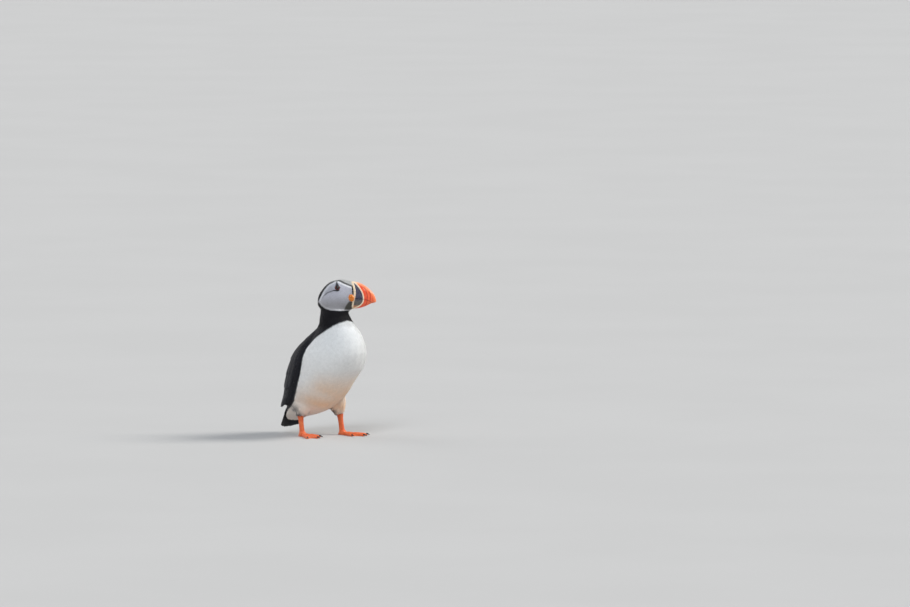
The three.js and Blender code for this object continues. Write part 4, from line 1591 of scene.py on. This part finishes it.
def leg_mesh(side):
    """The bare leg and webbed foot, whole and smooth, with soles flat on the floor."""
    names = (f"tarsus_{side}", f"foot_{side}")
    mesh = remeshed(joined_nodes(names, LEG_SWELL * MM), LEG_VOXEL * MM, 6)
    mesh.name = "leg_" + side
    points = mesh_points(mesh)
    along, across, up = foot_measures(points, side)
    normals = smooth_normals(mesh, 2)
    on_toe = ease(2.9, 2.0, np.abs(across)) * (up > 1.5)
    shank = ease(7, 10, up)
    ring = np.where(up > 8, up, along)
    scute = np.abs(np.sin(ring * math.pi / SCUTE_LENGTH)) ** 0.5
    relief = 0.16 * (scute - 0.7) * np.maximum(on_toe * (along > 2), shank)
    folds = np.sin(across * 2 * math.pi / WEB_FOLD + 0.6 * wobble(points / MM, 9, 31))
    relief += 0.07 * folds * (1 - on_toe) * (1 - shank) * (up > 0.8)
    points = points + normals * relief[:, None] * MM
    points[:, 2] = np.where(points[:, 2] < SOLE_REACH * MM, 0.0, points[:, 2])
    move_points(mesh, points)
    web = ease(2.2, 3.0, np.abs(across)) * (1 - shank)
    keep_numbers(mesh, "scale", np.column_stack([ring, web, up]))
    return mesh


def leg_material():
    """Orange scaly skin, with rows of shields down the shank and toes and finer webs, painted shade in the
    creases between the shields, and darker where the soles lie on the floor.
    """
    leg = bpy.context.scene.puffin.legs
    recipe = Recipe("leg_skin", Roughness=0.46, Coat_Weight=0.12, Subsurface_Weight=0.06,
                    Subsurface_Radius=(0.003, 0.001, 0.0005))
    ring, web, up = recipe.numbers("scale")
    ridge = recipe.span(recipe.cells(850.0, "DISTANCE_TO_EDGE"), 0.0, 0.16)
    rows = recipe.step("ABSOLUTE", recipe.step("SINE", recipe.times(ring, math.pi / SCUTE_LENGTH)))
    rows = recipe.span(rows, 0.0, 0.45)
    shield = recipe.times(rows, recipe.scaled(ridge, 0.35, 0.65))
    flesh = recipe.blend(recipe.span(recipe.noise(180.0), 0.35, 0.7), leg.leg, leg.leg_light)
    flesh = recipe.blend(web, flesh, leg.web)
    # painted shade in the creases between the shields, lighter on the webs
    shade = recipe.span(web, 0.9, 0.1, 0.18, 0.55)
    dark = recipe.times(recipe.step("SUBTRACT", 1.0, shield), shade)
    colour = recipe.blend(dark, flesh, leg.crease)
    recipe.bump(shield, 0.22, 0.45)
    return recipe.coloured(recipe.blend(recipe.span(up, 0.6, 0.0, 0.0, 0.5), colour, leg.crease))


def rounded_node(name):
    """The form of a frame node with its facets rounded."""
    mesh = baked(joined_nodes((name,), CLAW_SWELL * MM), ("SUBSURF", {"levels": 2}))
    mesh.shade_smooth()
    return mesh


def claw_material():
    """Dark polished horn."""
    recipe = Recipe("claw_horn", Roughness=0.42)
    streak = recipe.noise(260.0, 2.0)
    return recipe.coloured(recipe.blend(streak, (0.014, 0.011, 0.010), (0.040, 0.030, 0.025)))


# ---------------------------------------------------------------- settings
def colour_setting(name, description, default):
    """A colour that a user may change."""
    return bpy.props.FloatVectorProperty(
        name=name, description=description, default=default, min=0.0, max=1.0, subtype="COLOR"
    )


class PuffinPlumage(bpy.types.PropertyGroup):
    """Colours and sizes of the coat."""

    seed: bpy.props.IntProperty(
        name="Seed", description="Changes how single feathers differ", default=7
    )
    white: colour_setting("White", "Breast and belly", (0.89, 0.89, 0.88))
    black: colour_setting("Black", "Collar, back, wings and tail", (0.008, 0.008, 0.011))
    dusky: colour_setting("Dusky", "Streaks on the thighs", (0.09, 0.085, 0.09))
    # The belly's warm tint is painted warm bounce light.
    bounce_tint: colour_setting("Belly tint", "Warm stain low on the belly", (1.0, 0.72, 0.50))
    face: colour_setting("Face", "Upper part of the face patch", (0.60, 0.60, 0.665))
    face_shade: colour_setting("Cheek", "Lower part of the face patch", (0.43, 0.42, 0.44))
    # The face edge colour is the patch's pale edge, made brighter at its top and front as a painted sun
    # glint.
    face_edge_glint: colour_setting("Face edge", "Light edge of the face patch", (0.93, 0.93, 0.95))
    # The crown's pale grey is partly the feathers' own grey-brown and partly a painted sunlit sheen.
    crown: colour_setting("Crown", "Top of the head", (0.60, 0.60, 0.585))
    crown_back: colour_setting("Nape", "Back of the head", (0.022, 0.021, 0.022))
    chin: colour_setting("Chin", "Dusky wedge by the lower bill", (0.12, 0.115, 0.10))
    body_length: bpy.props.FloatProperty(
        name="Body feather", description="Length of a feather of the breast",
        default=12 * MM, min=4 * MM, max=20 * MM, unit="LENGTH",
    )
    face_length: bpy.props.FloatProperty(
        name="Face feather", description="Length of a feather of the cheek",
        default=3.4 * MM, min=1 * MM, max=6 * MM, unit="LENGTH",
    )


class PuffinBill(bpy.types.PropertyGroup):
    """Colours of the bill, the mouth corners and the skin round the eyes."""

    slate: colour_setting("Slate", "Plate behind the cream ridge", (0.034, 0.036, 0.085))
    slate_low: colour_setting("Low slate", "The same plate on the lower bill", (0.075, 0.072, 0.068))
    chin_edge: colour_setting("Lower edge", "Underside of the plate", (0.62, 0.26, 0.12))
    cream: colour_setting("Cream", "Ridge and rim", (0.86, 0.70, 0.50))
    red: colour_setting("Red", "Plate ahead of the cream ridge", (0.80, 0.075, 0.022))
    red_light: colour_setting("Light red", "Lighter places of the red plate", (0.93, 0.16, 0.05))
    # The groove colour is painted shade at the bottom of the grooves.
    groove: colour_setting("Groove", "Bottom of the grooves", (0.54, 0.045, 0.020))
    # The top and tip colour is a painted sun highlight along the top and on the ridges beside the grooves;
    # it also lightens the lower front of the red plate.
    culmen: colour_setting("Top and tip", "Lighter horn of the top and tip", (0.94, 0.27, 0.10))
    rosette: colour_setting("Mouth corner", "Folded skin at the mouth", (0.88, 0.33, 0.03))
    # painted shade at the bottom of the mouth corner's folds
    rosette_deep: colour_setting("Mouth fold", "Bottom of its folds", (0.55, 0.10, 0.01))
    lid: colour_setting("Eye ring", "Bare ring of the eye", (0.19, 0.013, 0.010))
    plate: colour_setting("Eye plates", "Plates over and under the eye", (0.010, 0.010, 0.014))


class PuffinLegs(bpy.types.PropertyGroup):
    """Colours of the legs and feet."""

    leg: colour_setting("Leg", "Shank and toes", (0.82, 0.13, 0.028))
    leg_light: colour_setting("Light leg", "Lighter places of the leg", (0.88, 0.20, 0.05))
    web: colour_setting("Web", "Skin between the toes", (0.80, 0.17, 0.05))
    # The crease colour is painted shade between the scales; it also darkens the soles on the floor.
    crease: colour_setting("Crease", "Between the scales", (0.30, 0.045, 0.015))


class PuffinSettings(bpy.types.PropertyGroup):
    """All that a user may change."""

    plumage: bpy.props.PointerProperty(type=PuffinPlumage)
    bill: bpy.props.PointerProperty(type=PuffinBill)
    legs: bpy.props.PointerProperty(type=PuffinLegs)


class Bench:
    """What one operator makes and the next ones need."""

    skin = None
    flesh = None
    coat = None  # the feathers' material


def looks():
    """The plumage settings."""
    return bpy.context.scene.puffin.plumage


# ---------------------------------------------------------------- operators
class PUFFIN_OT_skin(bpy.types.Operator):
    """Make the one skin that lies under all the feathers"""

    bl_idname = "puffin.skin"
    bl_label = "Skin"

    def execute(self, context):
        Bench.skin = Skin()
        Bench.flesh = Flesh()
        Bench.coat = plumage_material("plumage", True)
        skin_material = plumage_material("feathered_skin", False)
        mesh = Bench.skin.mesh
        on_wing = on_pair(Bench.flesh.owners(Bench.skin.points), "wing")
        # painted shade under the feathers: the skin is a little darker than the coat
        paint(mesh, markings(Bench.skin.points, on_wing) * SKIN_SHADE)
        show("skin", mesh, skin_material, FLESH)
        return {"FINISHED"}


WING_COVERTS_END = 119.0  # along the spine
TAIL_COVERTS_END = 216.0
LIGHT = 0.25  # feathers lighter than this are silky
SILK_REACH = 9.0  # how far from its root a feather is looked at for that
COAT_TRIES = 340000
COAT_SWING = 5.0  # how far feathers turn from the lie of the coat, in degrees
HEAD_COAT_END = -24.0  # the lowest feathers of the head, in the head's millimetres
BREAST_END = 98.0  # the lowest feathers of the breast, from the floor


def coat_sizes(points, owners):
    """Spacing, length, width and rise in millimetres of the feathers at points of the frame."""
    on_wing, on_thigh = on_pair(owners, "wing"), on_pair(owners, "thigh")
    silk = silky_places(points, on_wing)
    head = HEAD.inside(points)
    up = BIRD.inside(points)[:, 2]
    face = looks().face_length / MM
    body = looks().body_length / MM
    from_bill = np.clip((27 - head[:, 0]) / 45, 0, 1)
    on_head = ease(-30, -17, head[:, 2])
    head_length = face * (0.45 + 0.8 * from_bill**0.7)
    length = mix(body * (0.62 + 0.45 * ease(175, 120, up)), head_length, on_head)
    length = mix(length, body * 0.75, on_wing * (1 - on_head))
    length = mix(length, body * (0.30 + 0.35 * ease(24, 50, up)), on_thigh)
    length = length * mix(1.0, 0.8, ease(200, 215, SPINE_LINE.place(points)[0]))
    spacing = mix(0.62 + 0.095 * length, 0.42 + 0.16 * head_length, on_head)
    fine = np.maximum(silk, 0.7 * ease(158, 176, up))
    spacing = mix(spacing, spacing * 0.64, fine * (1 - on_head))
    spacing = mix(spacing, 2.5, on_wing * (1 - on_head))
    width = length * mix(mix(0.50, 0.37, fine), 0.42, on_head)
    rise = mix(COAT_DEPTH["body"], COAT_DEPTH["head"], on_head)
    rise = rise * mix(1.0, 0.7, np.maximum(on_wing, on_thigh))
    return spacing, length, width, rise


def silky_places(points, on_wing):
    """Which feathers rooted at points are light, or reach over light ones."""
    tips = points + lie_of_coat(points) * SILK_REACH * MM
    return np.any([markings(at, on_wing).mean(1) > LIGHT for at in (points, tips)], 0)


def bare_places(points):
    """Which points lie where the eyes, their plates or the mouth corners are."""
    head = HEAD.inside(points)
    bare = np.zeros(len(points), bool)
    for side, sign in SIDES.items():
        eye, gape = middle_of("eye_" + side), HEAD.inside(middle_of("gape_" + side))
        bare |= np.linalg.norm(points - eye, axis=1) < (EYE_RADIUS + 0.1) * MM
        flat = head[:, [0, 2]] - HEAD.inside(eye)[[0, 2]]
        for outline in (UPPER_PLATE, LOWER_PLATE):
            bare |= (head[:, 1] * sign > 5) & (inside_distance(outline, flat) > 0.2)
        from_gape = (head - gape) / (ROSETTE["ahead"], 4.0, ROSETTE["up"])
        bare |= np.linalg.norm(from_gape, axis=1) < 0.86
    return bare


def wing_ends(points, on_wing):
    """Which points of the wings lie where only long feathers grow."""
    along = SPINE_LINE.place(points)[0]
    edge = WING_COVERTS_END + 3 * wobble(points / MM, 12, 41)
    return (on_wing > 0.5) & (along > edge)


def coat_growth(skin, flesh, rng):
    """All the short feathers of the bird, and the solid that each grows on."""
    def spacing_at(points):
        return coat_sizes(points, flesh.owners(points))[0] * MM

    grown, grown_normals = skin.scatter(spacing_at, rng, COAT_TRIES)
    roots, normals = (np.concatenate(pair) for pair in zip((grown, grown_normals), bridle(rng)))
    owners = flesh.owners(roots)
    on_wing = on_pair(owners, "wing")
    along = SPINE_LINE.place(roots)[0]
    free = ~bare_places(roots) & ~wing_ends(roots, on_wing) & (along < TAIL_COVERTS_END)
    free[:len(grown)] &= ~skin.folded_in(grown, grown_normals)
    roots, owners, on_wing = roots[free], owners[free], on_wing[free]
    _, length, width, rise = coat_sizes(roots, owners)
    return Growth(roots, normals[free], length, width, rise, on_wing), owners


def coat_patches(growth, owners):
    """The pieces of the coat: which feathers each has, their form, how they lie and their slot."""
    up = BIRD.inside(growth.roots)[:, 2]
    on_head = HEAD.inside(growth.roots)[:, 2] > HEAD_COAT_END
    on_neck = ~on_head & is_part(owners, "neck", "head")
    on_thigh = is_part(owners, "thigh_left", "thigh_right")
    body = ~on_head & ~on_neck & ~on_thigh & (growth.on_wing < 0.5)
    silk = silky_places(growth.roots, growth.on_wing)
    silky = Habit(curl=0.02, uneven=0.01, fan=0.08, early=2.0)
    sleek = Habit(curl=0.10, uneven=0.06, fan=0.3, early=1.6, tip_shade=1.9)
    return {
        "coat_head": (on_head, FACE_TUFT, Habit(), "plumage_face"),
        "coat_neck": (on_neck, NECK_TUFT, Habit(), "plumage_dark"),
        "coat_breast": (body & silk & (up > BREAST_END), SILK_TUFT, silky, "plumage_white"),
        "coat_belly": (body & silk & (up <= BREAST_END), SILK_TUFT, silky, "plumage_white"),
        "coat_back": (body & ~silk, BODY_FEATHER, sleek, "plumage_dark"),
        "coat_thighs": (~on_head & on_thigh, SILK_TUFT, silky, "plumage_white"),
        "coverts_left": (is_part(owners, "wing_left"), COVERT, sleek, "plumage_dark"),
        "coverts_right": (is_part(owners, "wing_right"), COVERT, sleek, "plumage_dark"),
    }


class PUFFIN_OT_coat(bpy.types.Operator):
    """Grow the feathers of the head, neck, body, thighs and wing coverts"""

    bl_idname = "puffin.coat"
    bl_label = "Coat"

    def execute(self, context):
        rng = np.random.default_rng(looks().seed)
        growth, owners = coat_growth(Bench.skin, Bench.flesh, rng)
        for name, (keep, pattern, habit, slot) in coat_patches(growth, owners).items():
            part = growth.part(keep)
            shaft, held = shafts(Bench.skin, part, rng, COAT_SWING)
            if name != "coat_head":
                part, shaft = part.part(held), [lines[held] for lines in shaft]
            mesh = feather_mesh(name, shaft, part, pattern, rng, habit)
            show(name, mesh, Bench.coat)
        return {"FINISHED"}


class PUFFIN_OT_wings(bpy.types.Operator):
    """Lay the rows of long feathers on the folded wings"""

    bl_idname = "puffin.wings"
    bl_label = "Flight feathers"

    def execute(self, context):
        rng = np.random.default_rng(looks().seed + 1)
        habit = Habit(curl=0.10, tip_shade=1.8)
        for side in SIDES:
            wing = Wing(side)
            for name, row in WING_ROWS.items():
                shaft, widths = wing_shafts(wing, row, rng)
                growth = quill_growth(shaft, widths, rng)
                mesh = feather_mesh(f"{name}_{side}", shaft, growth, QUILL, rng, habit)
                show(f"{name}_{side}", mesh, Bench.coat)
        return {"FINISHED"}


class PUFFIN_OT_tail(bpy.types.Operator):
    """Fan out the feathers of the tail"""

    bl_idname = "puffin.tail"
    bl_label = "Tail feathers"

    def execute(self, context):
        rng = np.random.default_rng(looks().seed + 2)
        shaft = tail_shafts(rng)
        growth = quill_growth(shaft, np.full(TAIL_FEATHERS, TAIL_FEATHER_WIDTH), rng)
        mesh = feather_mesh("tail_feathers", shaft, growth, TAIL_QUILL, rng,
                            Habit(curl=0.04, tip_shade=1.8))
        show("tail_feathers", mesh, Bench.coat)
        return {"FINISHED"}


class PUFFIN_OT_bill(bpy.types.Operator):
    """Make both halves of the bill, and the rim round its base"""

    bl_idname = "puffin.bill"
    bl_label = "Bill"

    def execute(self, context):
        horn = bill_material()
        for name, upper in (("bill_upper", True), ("bill_lower", False)):
            show(name + "_horn", mandible_piece(name, upper), horn, (name,))
        rim = head_piece("rim", cere_rings(), lambda places: 0.12 * wobble(places, 2.2, 51))
        show("cere_skin", rim, cere_material(), ("cere",))
        return {"FINISHED"}


class PUFFIN_OT_eyes(bpy.types.Operator):
    """Make the eyes, the bare skin round them and the corners of the mouth"""

    bl_idname = "puffin.eyes"
    bl_label = "Eyes and mouth corners"

    def execute(self, context):
        bill = context.scene.puffin.bill
        gloss = eye_material()
        lid = bare_skin_material("eye_ring", bill.lid, np.array(bill.lid) * 0.4, 2500.0, 0.4)
        plate = bare_skin_material("eye_plate", bill.plate, np.array(bill.plate) * 2.0, 1600.0, 0.45)
        # the mouth corners' darker fold colour is painted shade at the bottom of the folds
        fleshy = bare_skin_material("rosette", bill.rosette_deep, bill.rosette, 900.0, 0.42)
        for side in SIDES:
            eye = middle_of("eye_" + side)
            _, lean = Bench.skin.beside([HEAD.inside(eye)[[0, 2]]], side)
            axis = unit(lean[0])
            show(f"eyeball_{side}", eyeball("eyeball", eye, axis), gloss, ("eye_" + side,))
            ring = looped_mesh("lid", lid_rings(eye, axis))
            show(f"eye_ring_{side}", ring, lid)
            for name, outline, height in (("over", UPPER_PLATE, 0.55), ("under", LOWER_PLATE, 0.45)):
                mesh = plate_mesh("plate", Bench.skin, eye, side, outline, height)
                show(f"eye_plate_{name}_{side}", mesh, plate)
            mesh = head_piece("rosette", rosette_rings(side), lambda at: 0.08 * wobble(at, 1.6, 61))
            show(f"rosette_{side}", mesh, fleshy, ("gape_" + side,))
        return {"FINISHED"}


class PUFFIN_OT_legs(bpy.types.Operator):
    """Make the legs, the webbed feet and the claws"""

    bl_idname = "puffin.legs"
    bl_label = "Legs and claws"

    def execute(self, context):
        scaly, horn = leg_material(), claw_material()
        for side in SIDES:
            mesh = leg_mesh(side)
            show(f"leg_{side}", mesh, scaly, (f"tarsus_{side}", f"foot_{side}"))
            for toe in TOES:
                node = f"claw_{toe}_{side}"
                show(f"{toe}_claw_{side}", rounded_node(node), horn, (node,))
        return {"FINISHED"}


# ---------------------------------------------------------------- stage
FLOOR_RADIUS = 60.0
# Each lamp: which way it stands, how soft it is (degrees), its strength and its colour.
LAMPS = {
    "key": ((0.60, -0.50, 0.62), 24.0, 2.8, (1.0, 0.97, 0.92)),
    "fill": ((-0.62, -0.42, 0.80), 22.0, 1.3, (0.88, 0.94, 1.0)),
    "back": ((-0.25, 0.85, 0.5), 45.0, 0.7, (1.0, 0.98, 0.95)),
}
FRAME_WIDTH = 910
FRAME_HEIGHT = 607
MM_PER_STEP = 1.42  # how much of the bird one step of the frame's width shows
FEET_IN_FRAME = (325, 436)  # where the floor under the breast is seen, from the top left
CAMERA_TURN = -45.0
CAMERA_RISE = 5.0
CAMERA_LENS = 300
CAMERA_SENSOR = 36
CAMERA_FAR = 100  # how far it sees, in metres


class PUFFIN_OT_stage(bpy.types.Operator):
    """Set out the pale floor, the soft lights and the camera"""

    bl_idname = "puffin.stage"
    bl_label = "Stage"

    def execute(self, context):
        floor_stage()
        studio_world()
        lights()
        camera()
        return {"FINISHED"}


def floor_stage():
    """A wide pale floor at the level of the soles."""
    ring = [(FLOOR_RADIUS * math.cos(a), FLOOR_RADIUS * math.sin(a), 0) for a in all_round(96)]
    mesh = bpy.data.meshes.new("floor")
    mesh.from_pydata(ring, [], [list(range(len(ring)))])
    recipe = Recipe("pale_floor", Roughness=0.85)
    tone = recipe.span(recipe.noise(3.0), 0.3, 0.7)
    colour = recipe.blend(tone, (0.480, 0.478, 0.475), (0.492, 0.490, 0.487))
    mesh.materials.append(recipe.coloured(colour))
    floor = add_object("floor", mesh)


def studio_world():
    """A pale surround, darker and bluer higher up."""
    world = bpy.data.worlds.new("studio")
    bpy.context.scene.world = world
    sky = Nodes(world)
    place = sky.node("TexCoord").outputs["Generated"]
    height = sky.node("SeparateXYZ", Vector=place).outputs["Z"]
    rise = sky.node("MapRange", Value=height, From_Min=0.04, From_Max=0.30).outputs[0]
    shade = sky.blend(rise, (0.64, 0.64, 0.64), (0.32, 0.335, 0.36))
    sky.feed(sky.tree.nodes["Background"].inputs["Color"], shade)


def lights():
    """Soft far lamps: a key high on the bird's left, and weaker ones for the other sides."""
    for name, (way, softness, strength, colour) in LAMPS.items():
        data = bpy.data.lights.new(name, "SUN")
        data.angle = math.radians(softness)
        data.energy = strength
        data.color = colour
        lamp = add_object(name, data)
        lamp.location = Vector(way) * 3
        lamp.rotation_euler = Vector(way).to_track_quat("Z", "Y").to_euler()


def camera():
    """A long lens that sees the bird from its right, as the head's profile is seen."""
    data = bpy.data.cameras.new("camera")
    data.lens = CAMERA_LENS
    data.sensor_width = CAMERA_SENSOR
    data.clip_end = CAMERA_FAR
    turn, rise = math.radians(CAMERA_TURN), math.radians(CAMERA_RISE)
    back = Vector((math.sin(turn) * math.cos(rise), -math.cos(turn) * math.cos(rise), math.sin(rise)))
    right = Vector((math.cos(turn), math.sin(turn), 0))
    up = back.cross(right)
    step = MM_PER_STEP * MM
    aside = (FRAME_WIDTH / 2 - FEET_IN_FRAME[0]) * step
    above = (FEET_IN_FRAME[1] - FRAME_HEIGHT / 2) * step
    target = Vector(BIRD.origin) + right * aside + up * above
    distance = FRAME_WIDTH * step * data.lens / data.sensor_width
    view = add_object("camera", data)
    view.location = target + back * distance
    view.rotation_euler = (-back).to_track_quat("-Z", "Y").to_euler()
    bpy.context.scene.camera = view
    bpy.context.scene.view_settings.view_transform = "Standard"


# ---------------------------------------------------------------- panel and start
class PUFFIN_PT_panel(bpy.types.Panel):
    """The bird's pieces, in the order that they are made"""

    bl_idname = "PUFFIN_PT_panel"
    bl_label = "Puffin"
    bl_space_type = "VIEW_3D"
    bl_region_type = "UI"
    bl_category = "Puffin"

    def draw(self, context):
        settings = context.scene.puffin
        for group in (settings.plumage, settings.bill, settings.legs):
            box = self.layout.box()
            for key in group.bl_rna.properties.keys():
                if key not in ("rna_type", "name"):
                    box.prop(group, key)
        for operator in OPERATORS:
            self.layout.operator(operator.bl_idname)


OPERATORS = (
    PUFFIN_OT_skin, PUFFIN_OT_coat, PUFFIN_OT_wings, PUFFIN_OT_tail, PUFFIN_OT_bill,
    PUFFIN_OT_eyes, PUFFIN_OT_legs, PUFFIN_OT_stage,
)
CLASSES = (PuffinPlumage, PuffinBill, PuffinLegs, PuffinSettings, *OPERATORS, PUFFIN_PT_panel)


def register():
    """Adds the settings, the operators and the panel to Blender."""
    for made in CLASSES:
        bpy.utils.register_class(made)
    bpy.types.Scene.puffin = bpy.props.PointerProperty(type=PuffinSettings)


def unregister():
    """Takes them out again."""
    del bpy.types.Scene.puffin
    for made in reversed(CLASSES):
        bpy.utils.unregister_class(made)


def main():
    """Makes every piece in order."""
    register()
    for operator in OPERATORS:
        getattr(bpy.ops.puffin, operator.bl_idname.split(".")[1])()


if __name__ == "__main__":
    main()
